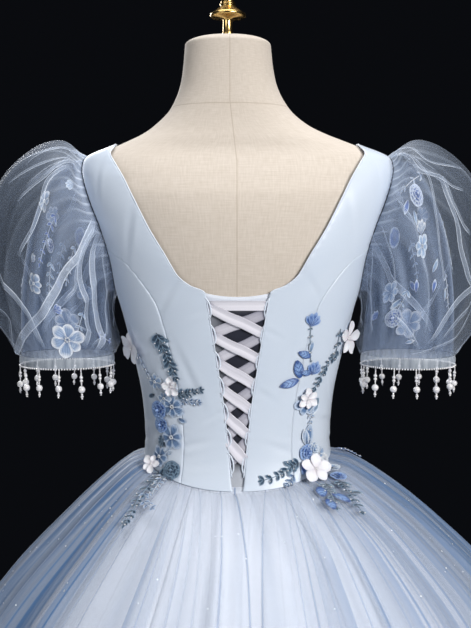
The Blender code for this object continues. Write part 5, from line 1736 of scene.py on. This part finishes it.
def make_fringe(side, word):
    """Strands of pearls that hang under the sleeve's band, on a narrow beaded tape."""
    cluster = Cluster()
    chance = np.random.default_rng(53 + side)
    for i in range(STRANDS):
        root = strand_place((i + 0.5) * 360 / STRANDS, FRINGE_INSET, FRINGE_TOP)
        hang = np.array((*chance.uniform(-SWAY, SWAY, 2), -1.0))
        size = chance.uniform(0.95, 1.06)
        for drop, radius in STRAND:
            sides, levels = (14, 10) if radius > 0.003 else (10, 7) if radius > 0.0015 else (7, 5)
            cluster.add(*ball(mirrored(root + hang * drop * size, side), radius * size, sides, levels))
        path = root + hang * np.linspace(-0.001, 0.037, 8)[:, None]
        cluster.add(*tube(mirrored(path, side), STRAND_RADIUS, 5))
    for i in range(TAPE_BEADS):
        root = strand_place(i * 360 / TAPE_BEADS, TAPE_INSET, FRINGE_TOP - TAPE_DROP)
        cluster.add(*ball(mirrored(root, side), TAPE_BEAD_RADIUS, 7, 5))
    name = f"bead_fringe_{word}"
    stand_for(cluster.make(name, [PEARL]), name, "pearl")


# ---------------------------------------------------------------- Flowers and leaves


def blade(
    length,
    width,
    angle=0.0,
    at=(0.0, 0.0),
    lift=0.0008,
    cup=0.0,
    rise=0.0,
    wide=0.5,
    wave=0.0,
    rows=9,
    columns=5,
):
    """A petal or leaf from its base: points to the right, up and out, with cells and a UV map along it.

    cup lifts its sides, rise its tip and wave its middle; wide is the share of its length where it is widest.
    """
    v, u = np.meshgrid(np.linspace(0, 1, rows), np.linspace(-1, 1, columns), indexing="ij")
    power = math.log(0.5) / math.log(wide)
    across = u * (width / 2 * np.sin(math.pi * np.clip(0.04 + 0.93 * v, 0, 1) ** power) ** 0.75)
    out = lift + rise * v**1.5 + cup * (u**2) * np.sin(math.pi * v) + wave * np.sin(7 * v + 2.0 * u) * v
    sine, cosine = math.sin(math.radians(angle)), math.cos(math.radians(angle))
    along = v * length
    right = at[0] + along * sine + across * cosine
    up = at[1] + along * cosine - across * sine
    points = np.stack((right, up, out), axis=-1).reshape(-1, 3)
    cells = grid_cells(rows, columns, False, True)[0]
    return points, cells, np.stack(((u + 1) / 2, v), axis=-1).reshape(-1, 2)


def bearing(reach, angle, lift):
    """A point this far off in the direction of an angle from straight up, at this height."""
    return reach * math.sin(math.radians(angle)), reach * math.cos(math.radians(angle)), lift


def spot(surface, a, b):
    """Lays flat shapes round a point of a surface: right, up and out, in metres."""
    here = surface(a, b, 0.0)
    a_step = np.linalg.norm(surface(a + TURN_STEP, b, 0.0) - here) / TURN_STEP
    b_step = np.linalg.norm(surface(a, b + WAY_STEP, 0.0) - here) / WAY_STEP

    def lay(shape):
        points, cells, uv = shape
        return surface(a + points[:, 0] / a_step, b + points[:, 1] / b_step, points[:, 2]), cells, uv

    return lay


def lace_flower(cluster, lay, radius, slot, angle, lift=0.0008):
    """An embroidered flower: overlapping petals with corded rims, and white knots at its heart."""
    for i in range(6):
        size = radius * (1 + 0.10 * math.sin(3.7 * i + angle))
        raised = lift + 0.0002 * (i % 2)
        shape = blade(size, size * 2.3 / 6 * 1.9, angle + 60 * i, lift=raised, cup=0.0006, wide=0.62)
        cluster.add(*lay(shape), slot)
    for i in range(6):
        knot = ball(bearing(radius * 0.12, 60 * i + angle, lift + 0.0010), radius * 0.065, 6, 4)
        cluster.add(*lay(knot), SLOT["white"])


def rose(cluster, lay, radius, slot, lift=0.0008):
    """A small rose: three rings of overlapping petals, higher towards the middle."""
    for level, (share, petals, high) in enumerate(((1.0, 6, 0.0), (0.70, 5, 0.0014), (0.42, 4, 0.0026))):
        for i in range(petals):
            turned, size = 360 / petals * i + 25 * level, radius * share
            shape = blade(size, size * 1.25, turned, (0, 0), lift + high, 0.0012, 0.0012, 0.66, rows=7)
            cluster.add(*lay(shape), slot)
    cluster.add(*lay(ball((0, 0, lift + 0.0040), radius * 0.20, 8, 5)), slot)


def sprig(cluster, lay, length, angle, slot, leaf=0.0085, lift=0.0008):
    """A bent corded stem with leaves on both sides, smaller towards its tip, and one at the end."""
    pairs = max(3, int(length / 0.011))
    bend = 0.05 * length
    turned = math.radians(angle)
    t = np.linspace(0, 1, 7)
    right = length * t * math.sin(turned) + bend * t * t * math.cos(turned)
    up = length * t * math.cos(turned) - bend * t * t * math.sin(turned)
    line = np.column_stack((right, up))
    fine = held(np.linspace(0, 6, 37), line)
    cluster.add(*lay(tube(np.column_stack((fine, np.full(len(fine), lift))), 0.00045, 5)), slot)
    for i in range(pairs):
        share = 0.12 + 0.80 * i / max(1, pairs - 1)
        at = np.array((np.interp(share, t, right), np.interp(share, t, up)))
        size = leaf * (1.1 - 0.45 * share) * (1 + 0.12 * math.sin(5.1 * i + angle))
        for side in (-1, 1):
            lean = angle + side * (48 + 6 * math.sin(2.0 * i))
            cluster.add(*lay(blade(size, size * 0.42, lean, at, lift + 0.0002, 0.0005, rows=7)), slot)
    tip = angle + math.degrees(math.atan2(bend, length))
    cluster.add(*lay(blade(leaf * 0.8, leaf * 0.34, tip, line[-1], lift, 0.0005, rows=7)), slot)


def fan(cluster, lay, length, angle, blades, slot, spread_angle, lift=0.0008):
    """A bud or tulip: blades that open from one point."""
    for i in range(blades):
        turned = angle + spread_angle * (i / (blades - 1) - 0.5)
        size = length * (1 - 0.18 * abs(2 * i / (blades - 1) - 1))
        shape = blade(size, size * 0.42, turned, lift=lift + 0.0003 * (i % 2), cup=0.0006, wide=0.66)
        cluster.add(*lay(shape), slot)


def on_gown(turn, over):
    """As spot, for a place on the gown: its up is straight up the body, whatever way the waist seam runs."""
    waist = waist_height(turn)

    def surface(at, up, lift):
        return gown(at, over + up - (waist_height(at) - waist), lift)

    return spot(surface, turn, 0.0)


VINE_LIFT = 0.0012
VINE_RADIUS = 0.0005


def vine(cluster, places, leaf, pairs, slot):
    """A stem through places on the gown, each a turn and a height over the waist, with leaves and beads."""
    path = held(np.linspace(0, len(places) - 1, 8 * (len(places) - 1) + 1), places)
    cluster.add(*tube(gown(path[:, 0], path[:, 1], VINE_LIFT), VINE_RADIUS, 5), slot)
    count = len(path) - 1
    for i in range(pairs + 1):
        k = int(round((0.04 + 0.94 * i / pairs) * count))
        turn, over = path[k]
        before, after = path[max(k - 1, 0)], path[min(k + 1, count)]
        lay = on_gown(turn, over)
        a_degree = np.linalg.norm(gown(turn + TURN_STEP, over) - gown(turn, over)) / TURN_STEP
        rise = after[1] - before[1] + float(waist_height(after[0]) - waist_height(before[0]))
        angle = math.degrees(math.atan2((after[0] - before[0]) * a_degree, rise))
        size = leaf * (1.12 - 0.40 * i / pairs) * (1 + 0.15 * math.sin(5.1 * i + places[0][0]))
        for side in (-1, 1):
            lean = angle + side * (50 + 12 * math.sin(2.3 * i + side))
            shape = blade(size, size * 0.54, lean, (0, 0), VINE_LIFT, 0.0006, 0.0008, rows=7)
            cluster.add(*lay(shape), slot)
            if (i + side) % 2 == 0:
                bead = ball(bearing(size * 0.62, lean + 18, VINE_LIFT + 0.0010), 0.0009, 6, 4)
                cluster.add(*lay(bead), BEAD_SLOT)
    shape = blade(leaf * 0.8, leaf * 0.36, angle, (0, 0), VINE_LIFT, 0.0005, rows=7)
    cluster.add(*on_gown(*path[-1])(shape), slot)


def white_flower(name, turn, over, radius, angle, face, stand, petals, wide):
    """A raised flower of chiffon petals with pearls at its heart, standing free on its foot.

    face turns it from the cloth's own direction towards the back, and stand is its height over the cloth.
    """
    here = gown(turn, over)[0]
    side = (gown(turn + 1, over + 0.012) - gown(turn - 1, over + 0.012))[0]
    rise = (gown(turn, over + 0.014) - gown(turn, over - 0.014))[0]
    out = unit(unit(np.cross(side, rise)) + face * np.array((0.0, -1.0, 0.25)))
    right = unit(side - out * (side @ out))
    up = np.cross(out, right)
    centre = here + out * stand

    def lay(shape):
        points, cells, uv = shape
        return centre + points[:, :1] * right + points[:, 1:2] * up + points[:, 2:3] * out, cells, uv

    cluster = Cluster()
    for i in range(petals):
        turned = angle + 360 / petals * i + 5 * math.sin(3.1 * i + turn)
        size = radius * (1 + 0.10 * math.sin(2.9 * i + turn))
        rise = 0.12 * radius + 0.07 * radius * math.sin(1.7 * i)
        lift = 0.0008 * (i % 2)
        shape = blade(size, size * 0.78 * wide, turned, (0, 0), lift, 0.0016, rise, 0.60, 0.0006, 13, 9)
        cluster.add(*lay(shape), 0)
    for i in range(5):
        reach = 0.0 if i == 4 else radius * 0.09
        cluster.add(*lay(ball(bearing(reach, 90 * i, 0.0014), radius * 0.055, 8, 6)), 1)
    foot = np.array([here - out * 0.001, centre + out * 0.0006])
    cluster.add(*tube(foot, radius * 0.10, 8), 0)
    stand_for(cluster.make(name, [PETAL, PEARL]), name, "flower")


# Raised flowers: name, turn, height over the waist, radius, angle, facing, stand, petals and their breadth
WHITE_FLOWERS = (
    ("flower_left_upper", -70.5, 0.148, 0.0245, 6.0, 0.10, 0.004, 5, 0.90),
    ("flower_left_middle", -36.5, 0.120, 0.0125, -24.0, 0.1, 0.004, 5, 1.0),
    ("flower_left_lower", -57.0, 0.002, 0.0130, 60.0, 0.3, 0.007, 5, 0.95),
    ("flower_right_upper", 78.5, 0.155, 0.0235, 12.0, 0.38, 0.004, 5, 0.85),
    ("flower_right_middle", 40.5, 0.102, 0.0140, 12.0, 0.1, 0.004, 6, 0.85),
    ("flower_right_lower", 47.0, 0.002, 0.0200, -38.0, 0.2, 0.011, 5, 1.0),
)
# Sprays: kind, then a place as turn and height over the waist or a vine's places, size, angle, thread
LEFT_SPRAY = (
    ("vine", ((-41.5, 0.186), (-38.5, 0.168), (-36.0, 0.152), (-33.5, 0.134)), 0.0120, 9, "teal"),
    ("vine", ((-34.0, 0.110), (-26.0, 0.117), (-18.5, 0.124)), 0.0080, 6, "teal"),
    ("vine", ((-32.0, 0.104), (-25.0, 0.107), (-20.0, 0.108)), 0.0066, 4, "slate"),
    ("vine", ((-50, 0.002), (-46.5, -0.02), (-46, -0.052), (-43.5, -0.08), (-43, -0.10)), 0.0100, 11, "teal"),
    ("vine", ((-45.0, -0.044), (-42.0, -0.058), (-37.0, -0.063)), 0.0085, 4, "slate"),
    ("vine", ((-46.0, 0.000), (-43.0, -0.018), (-41.5, -0.040)), 0.0080, 5, "pale"),
    ("vine", ((-68.0, 0.150), (-61.0, 0.132), (-56.0, 0.120)), 0.0062, 5, "slate"),
    ("flower", (-50.5, 0.117), 0.0125, 12, "pale"),
    ("flower", (-38.0, 0.093), 0.0160, 0, "slate"),
    ("flower", (-44.0, 0.100), 0.0105, 30, "pale"),
    ("rose", (-50.5, 0.080), 0.0125, 0, "cornflower"),
    ("rose", (-49.0, 0.062), 0.0105, 0, "cornflower"),
    ("flower", (-40.0, 0.052), 0.0165, 20, "slate"),
    ("fan", (-46.0, 0.044), 0.0130, 250, "teal"),
    ("flower", (-51.0, 0.019), 0.0140, 40, "slate"),
    ("fan", (-45.0, 0.026), 0.0120, 30, "pale"),
    ("rose", (-38.5, 0.011), 0.0125, 0, "teal"),
    ("leaf", (-44.0, 0.010), 0.0130, 215, "teal"),
    ("leaf", (-53.5, 0.098), 0.0120, 250, "teal"),
    ("leaf", (-34.0, 0.080), 0.0120, 110, "slate"),
)
RIGHT_SPRAY = (
    ("fan", (34.7, 0.198), 0.0185, 16, "cornflower"),
    ("vine", ((34.7, 0.198), (35.8, 0.184), (37.2, 0.168), (39.0, 0.152)), 0.0036, 4, "stem"),
    ("leaf", (37.6, 0.164), 0.0150, 2, "pale"),
    ("leaf", (38.6, 0.157), 0.0195, 292, "leaf"),
    ("leaf", (33.5, 0.133), 0.0250, -20, "leaf"),
    ("leaf", (32.5, 0.131), 0.0240, 252, "leaf"),
    ("fan", (41.8, 0.132), 0.0180, 18, "cornflower"),
    ("leaf", (41.0, 0.134), 0.0160, 282, "leaf"),
    ("vine", ((61.0, 0.178), (62.5, 0.146), (55.0, 0.138), (49.5, 0.121), (44.5, 0.108)), 0.0088, 11, "teal"),
    ("flower", (41.0, 0.095), 0.0165, 24, "slate"),
    ("leaf", (45.5, 0.080), 0.0210, 26, "teal"),
    ("leaf", (44.0, 0.078), 0.0200, 48, "pale"),
    ("vine", ((46.0, 0.084), (45.5, 0.070), (44.5, 0.048)), 0.0060, 4, "pale"),
    ("leaf", (43.6, 0.038), 0.0285, 4, "slate"),
    ("leaf", (43.0, 0.040), 0.0220, -14, "pale"),
    ("rose", (43.0, 0.030), 0.0115, 0, "cornflower"),
    ("rose", (49.0, 0.030), 0.0105, 0, "pale"),
    ("flower", (54.5, 0.020), 0.0120, 10, "pale"),
    ("leaf", (40.5, 0.020), 0.0170, 200, "cornflower"),
    ("flower", (62.0, 0.006), 0.0090, 0, "white"),
    ("rose", (60.0, -0.010), 0.0100, 0, "pale"),
    ("rose", (54.5, -0.024), 0.0095, 0, "cornflower"),
    ("vine", ((36.0, 0.022), (30.0, 0.022), (23.5, 0.016), (12.5, 0.012)), 0.0100, 8, "teal"),
    ("vine", ((31.0, 0.010), (27.5, 0.004), (25.0, 0.000)), 0.0080, 3, "slate"),
    ("vine", ((44.0, -0.022), (41.0, -0.036), (36.0, -0.062)), 0.0095, 6, "stem"),
    ("vine", ((52.0, -0.030), (50.0, -0.040), (47.0, -0.058), (44.0, -0.080)), 0.0090, 7, "teal"),
    ("leaf", (39.0, -0.024), 0.0240, 205, "leaf"),
    ("leaf", (41.0, -0.040), 0.0240, 165, "leaf"),
    ("leaf", (36.0, -0.046), 0.0220, 195, "leaf"),
    ("leaf", (49.0, -0.050), 0.0150, 120, "teal"),
    ("vine", ((97.0, -0.008), (94.0, -0.018), (90.0, -0.030)), 0.0090, 5, "cornflower"),
)


def make_spray(rows, word):
    """A spray on one side of the back, at its places on the gown."""
    cluster = Cluster()
    for kind, place, size, angle, colour in rows:
        slot = SLOT[colour]
        if kind == "vine":
            vine(cluster, place, size, angle, slot)
            continue
        lay = on_gown(*place)
        if kind == "flower":
            lace_flower(cluster, lay, size, slot, angle, 0.0016)
        elif kind == "rose":
            rose(cluster, lay, size, slot, 0.0014)
        elif kind == "leaf":
            cluster.add(*lay(blade(size, size * 0.50, angle, (0, 0), 0.0013, 0.0008, 0.0010, 0.48)), slot)
        else:
            fan(cluster, lay, size, angle, 5, slot, 88.0, 0.0014)
    name = f"applique_{word}"
    stand_for(cluster.make(name, [*THREADS, PEARL]), name, "spray")


def make_appliques():
    make_spray(LEFT_SPRAY, "left")
    make_spray(RIGHT_SPRAY, "right")
    for row in WHITE_FLOWERS:
        white_flower(*row)


# Embroidery on the net sleeves: kind, place round the sleeve, share of its length, size, angle, thread
LEFT_EMBROIDERY = (
    ("flower", 35, 0.255, 0.0135, 0, "lace_white"),
    ("flower", 57, 0.585, 0.0125, 20, "lace_white"),
    ("fan", 47, 0.500, 0.0120, 10, "lace_white"),
    ("flower", 101, 0.870, 0.0225, 10, "lace_white"),
    ("fan", 86, 0.690, 0.0130, 60, "lace_blue"),
    ("sprig", 140, 0.800, 0.0300, 110, "lace_blue"),
    ("sprig", 98, 0.180, 0.0480, 175, "lace_white"),
    ("fan", 52, 0.060, 0.0150, 190, "pale"),
    ("sprig", 62, 0.200, 0.0700, 178, "lace_blue"),
    ("sprig", 76, 0.400, 0.0600, 172, "pale"),
    ("rose", 70, 0.360, 0.0080, 0, "lace_blue"),
    ("fan", 20, 0.420, 0.0140, 200, "pale"),
    ("flower", 8, 0.640, 0.0130, 0, "pale"),
    ("sprig", 124, 0.620, 0.0400, 200, "pale"),
)
RIGHT_EMBROIDERY = (
    ("sprig", 24, 0.160, 0.0420, 300, "lace_white"),
    ("rose", 53, 0.165, 0.0130, 0, "lace_blue"),
    ("leaf", 64, 0.125, 0.0190, 262, "lace_blue"),
    ("leaf", 66, 0.185, 0.0160, 205, "pale"),
    ("flower", 74, 0.345, 0.0135, 10, "pale"),
    ("fan", 70, 0.300, 0.0170, 30, "lace_white"),
    ("leaf", 66, 0.510, 0.0150, 40, "pale"),
    ("leaf", 92, 0.560, 0.0150, 10, "lace_blue"),
    ("leaf", 69, 0.610, 0.0150, 20, "lace_blue"),
    ("leaf", 110, 0.560, 0.0200, 250, "pale"),
    ("leaf", 53, 0.680, 0.0150, 15, "pale"),
    ("fan", 118, 0.650, 0.0190, 215, "lace_blue"),
    ("rose", 121, 0.690, 0.0120, 0, "lace_blue"),
    ("sprig", 100, 0.500, 0.0360, 215, "pale"),
    ("sprig", 20, 0.330, 0.0760, 182, "pale"),
    ("sprig", 46, 0.540, 0.0500, 175, "lace_white"),
    ("leaf", 104, 0.890, 0.0120, 80, "lace_white"),
)
HIDDEN_EMBROIDERY = (
    ("flower", -40, 0.300, 0.0130, 0, "lace_white"),
    ("rose", -84, 0.240, 0.0120, 0, "lace_blue"),
    ("sprig", -66, 0.340, 0.0500, 178, "pale"),
    ("flower", -104, 0.560, 0.0140, 14, "pale"),
    ("leaf", -70, 0.620, 0.0160, 20, "lace_blue"),
    ("flower", -80, 0.830, 0.0200, 8, "lace_white"),
    ("fan", -126, 0.740, 0.0150, 40, "lace_blue"),
)


def make_embroidery(net, side, word):
    """Flowers and leaves stitched on the net, under the puff."""
    cluster = Cluster()

    def on_net(across, up, lift):
        return net(-side * across, -up, lift)

    rows = (LEFT_EMBROIDERY if side < 0 else RIGHT_EMBROIDERY) + HIDDEN_EMBROIDERY
    for kind, around, share, size, angle, colour in rows:
        lay = spot(on_net, -side * around, -share)
        slot = SLOT[colour]
        if kind == "flower":
            lace_flower(cluster, lay, size, slot, angle)
        elif kind == "rose":
            rose(cluster, lay, size, slot, 0.0005)
        elif kind == "leaf":
            cluster.add(*lay(blade(size, size * 0.42, angle, cup=0.0005)), slot)
        elif kind == "fan":
            fan(cluster, lay, size, angle, 4, slot, 70.0)
        else:
            sprig(cluster, lay, size, angle, slot)
    cluster.make(f"sleeve_embroidery_{word}", THREADS)


# ---------------------------------------------------------------- Dress form and stand


FORM_MIDDLE = (0.0, 0.0, 1.2)
LEAST_SHRINK = 0.002


def shrunk(row, share):
    """A row drawn in towards its middle, to this share of its size."""
    middle = row.mean(axis=0)
    return middle + (row - middle) * share


def make_form():
    """The form's linen skin, closed over the neck by a low dome and underneath by a plain floor."""
    low_start, low_end, high_start, high_end = FORM_SHOULDER
    heights = np.concatenate([np.linspace(FORM_BOTTOM, 1.20, 36), np.linspace(1.204, 1.579, 110)])
    rise = (heights - low_start) / (low_end - low_start)
    fall = (high_end - heights) / (high_end - high_start)
    depth = FORM_DEPTH + (FORM_SHOULDER_DEPTH - FORM_DEPTH) * np.clip(np.minimum(rise, fall), 0, 1)
    turn, height = np.meshgrid(np.arange(0, 360, 2.5), heights)
    grid = skin(turn, height, np.broadcast_to(depth[:, None], turn.shape))
    rows = [shrunk(grid[0], share) for share in (LEAST_SHRINK, 0.5, 0.9, 0.985)] + list(grid)
    for t in np.linspace(0.06, 1.0, 14):
        row = shrunk(grid[-1], max(math.cos(t * math.pi / 2), LEAST_SHRINK))
        row[:, 2] = heights[-1] + (NECK_TOP - heights[-1]) * math.sin(t * math.pi / 2)
        rows.append(row)
    made = sheet_object("form_torso", np.array(rows), LINEN, FORM_MIDDLE, wrap=True)
    stand_for(made, "form_torso", "linen")


# Turned brass: height over the neck's top, radius
FINIAL = (
    (0.0000, 0.0066), (0.0040, 0.0074), (0.0060, 0.0066), (0.0200, 0.0062), (0.0235, 0.0070),
    (0.0245, 0.0215), (0.0255, 0.0232), (0.0270, 0.0238), (0.0290, 0.0232), (0.0305, 0.0205),
    (0.0340, 0.0160), (0.0370, 0.0122), (0.0385, 0.0104), (0.0395, 0.0096), (0.0405, 0.0104),
    (0.0415, 0.0108), (0.0425, 0.0102), (0.0435, 0.0088), (0.0445, 0.0094), (0.0455, 0.0088),
    (0.0470, 0.0064), (0.0500, 0.0056), (0.0560, 0.0060), (0.0600, 0.0090), (0.0680, 0.0150),
    (0.0740, 0.0178), (0.0800, 0.0190), (0.0860, 0.0176), (0.0930, 0.0130), (0.0980, 0.0084),
    (0.1020, 0.0060), (0.1040, 0.0072), (0.1070, 0.0074), (0.1095, 0.0050), (0.1120, 0.0008),
)
FINIAL_GAP = 0.0003


def make_finial():
    angles = np.radians(np.arange(0, 360, 7.5))
    x = (skin(90.0, NECK_TOP)[0] + skin(-90.0, NECK_TOP)[0]) / 2
    y = (skin(0.0, NECK_TOP)[1] + skin(180.0, NECK_TOP)[1]) / 2
    high, radius = (column[:, None] for column in np.array(FINIAL).T)
    up = NECK_TOP + FINIAL_GAP + high + 0 * angles
    grid = np.stack((x + radius * np.cos(angles), y + radius * np.sin(angles), up), axis=-1)
    made = sheet_object("form_finial", grid, BRASS, (x, y, NECK_TOP + 0.05), wrap=True)
    stand_for(made, "form_finial", "brass")


def dress_cad():
    """The pole and base keep their solids, in better materials."""
    for name, material in (("form_pole", BRASS), ("form_base", WOOD)):
        kept = bpy.data.objects[name]
        kept.data.materials.clear()
        kept.data.materials.append(material)


# ---------------------------------------------------------------- Stage, light and camera
FLOOR_SOLID = 1.1
FLOOR_END = 1.75


def make_floor():
    """A round pale floor that fades out at its rim."""
    made, shader = new_material("Floor", (0.72, 0.73, 0.75), 0.75)
    at = object_coordinates(made, (1, 1, 1))
    reach = node(made, "ShaderNodeVectorMath", {0: at}, operation="LENGTH").outputs["Value"]
    grain = spread(made, noise(made, at, scale=3.0), 0.35, 0.65)
    link(made, mixed(made, grain, (0.73, 0.74, 0.76), (0.70, 0.71, 0.73)), shader.inputs["Base Color"])
    link(made, spread(made, reach, FLOOR_SOLID, FLOOR_END, 1.0, 0.0), shader.inputs["Alpha"])
    angles = np.radians(np.arange(0, 360, 5.0))
    points = [(0.0, 0.0, 0.0)] + [(FLOOR_END * math.cos(a), FLOOR_END * math.sin(a), 0.0) for a in angles]
    faces = [(0, 1 + i, 1 + (i + 1) % len(angles)) for i in range(len(angles))]
    add_object("floor", points, faces, made, ride=False)


# Lights: place, height of the point that they face, size, power, colour
LIGHTS = {
    "key": ((1.9, -2.7, 2.3), 1.15, 1.3, 123, (1.0, 0.99, 0.97)),
    "fill": ((-2.2, -2.4, 1.6), 1.1, 2.4, 28, (0.94, 0.97, 1.0)),
    "top": ((-0.1, 0.15, 3.4), 1.0, 1.6, 50, (1.0, 1.0, 1.0)),
    "back": ((-1.4, 2.6, 2.2), 1.2, 1.6, 52, (0.95, 0.97, 1.0)),
}
WORLD_COLOUR = (0.003, 0.0034, 0.0046, 1.0)


def area_light(name, location, target_height, size, power, colour):
    """A round lamp that faces the upright axis at this height."""
    lamp = bpy.data.lights.new(name, "AREA")
    lamp.shape = "DISK"
    lamp.size = size
    lamp.energy = power
    lamp.color = colour
    made = bpy.data.objects.new(name, lamp)
    made.location = location
    x, y, z = np.array((0.0, 0.0, target_height)) - location
    made.rotation_euler = (math.atan2(math.hypot(x, y), -z), 0, math.atan2(-x, y))
    bpy.context.scene.collection.objects.link(made)


def make_lights():
    for name, row in LIGHTS.items():
        area_light(name, *row)
    bpy.context.scene.view_settings.view_transform = "Standard"
    world = bpy.data.worlds.new("Studio")
    world.use_nodes = True
    background = world.node_tree.nodes["Background"]
    background.inputs["Color"].default_value = WORLD_COLOUR
    background.inputs["Strength"].default_value = 1.0
    bpy.context.scene.world = world


# The photo's own view: the camera stands behind the gown at shoulder height and looks a little down
CAMERA_PLACE = (-0.0027, -1.25, 1.31)
CAMERA_DOWN = 3.96
SENSOR_HEIGHT = 36.0
LENS = 53.77


def make_camera():
    lens = bpy.data.cameras.new("Camera")
    lens.sensor_fit = "VERTICAL"
    lens.sensor_height = SENSOR_HEIGHT
    lens.lens = LENS
    made = bpy.data.objects.new("Camera", lens)
    made.location = CAMERA_PLACE
    made.rotation_euler = (math.radians(90 - CAMERA_DOWN), 0.0, 0.0)
    bpy.context.scene.collection.objects.link(made)
    bpy.context.scene.camera = made


make_bodice()
make_neck_binding()
make_modesty_panel()
for SIDE, WORD in ((-1, "left"), (1, "right")):
    make_loops(SIDE, WORD)
    make_sleeve(SIDE, WORD)
    make_fringe(SIDE, WORD)
make_ribbon("lacing_ribbon_a", -1, True)
make_ribbon("lacing_ribbon_b", 1, False)
make_base_skirt()
make_under_tulle()
make_tulle()
make_glitter()
make_appliques()
make_form()
make_finial()
dress_cad()
make_floor()
make_lights()
make_camera()
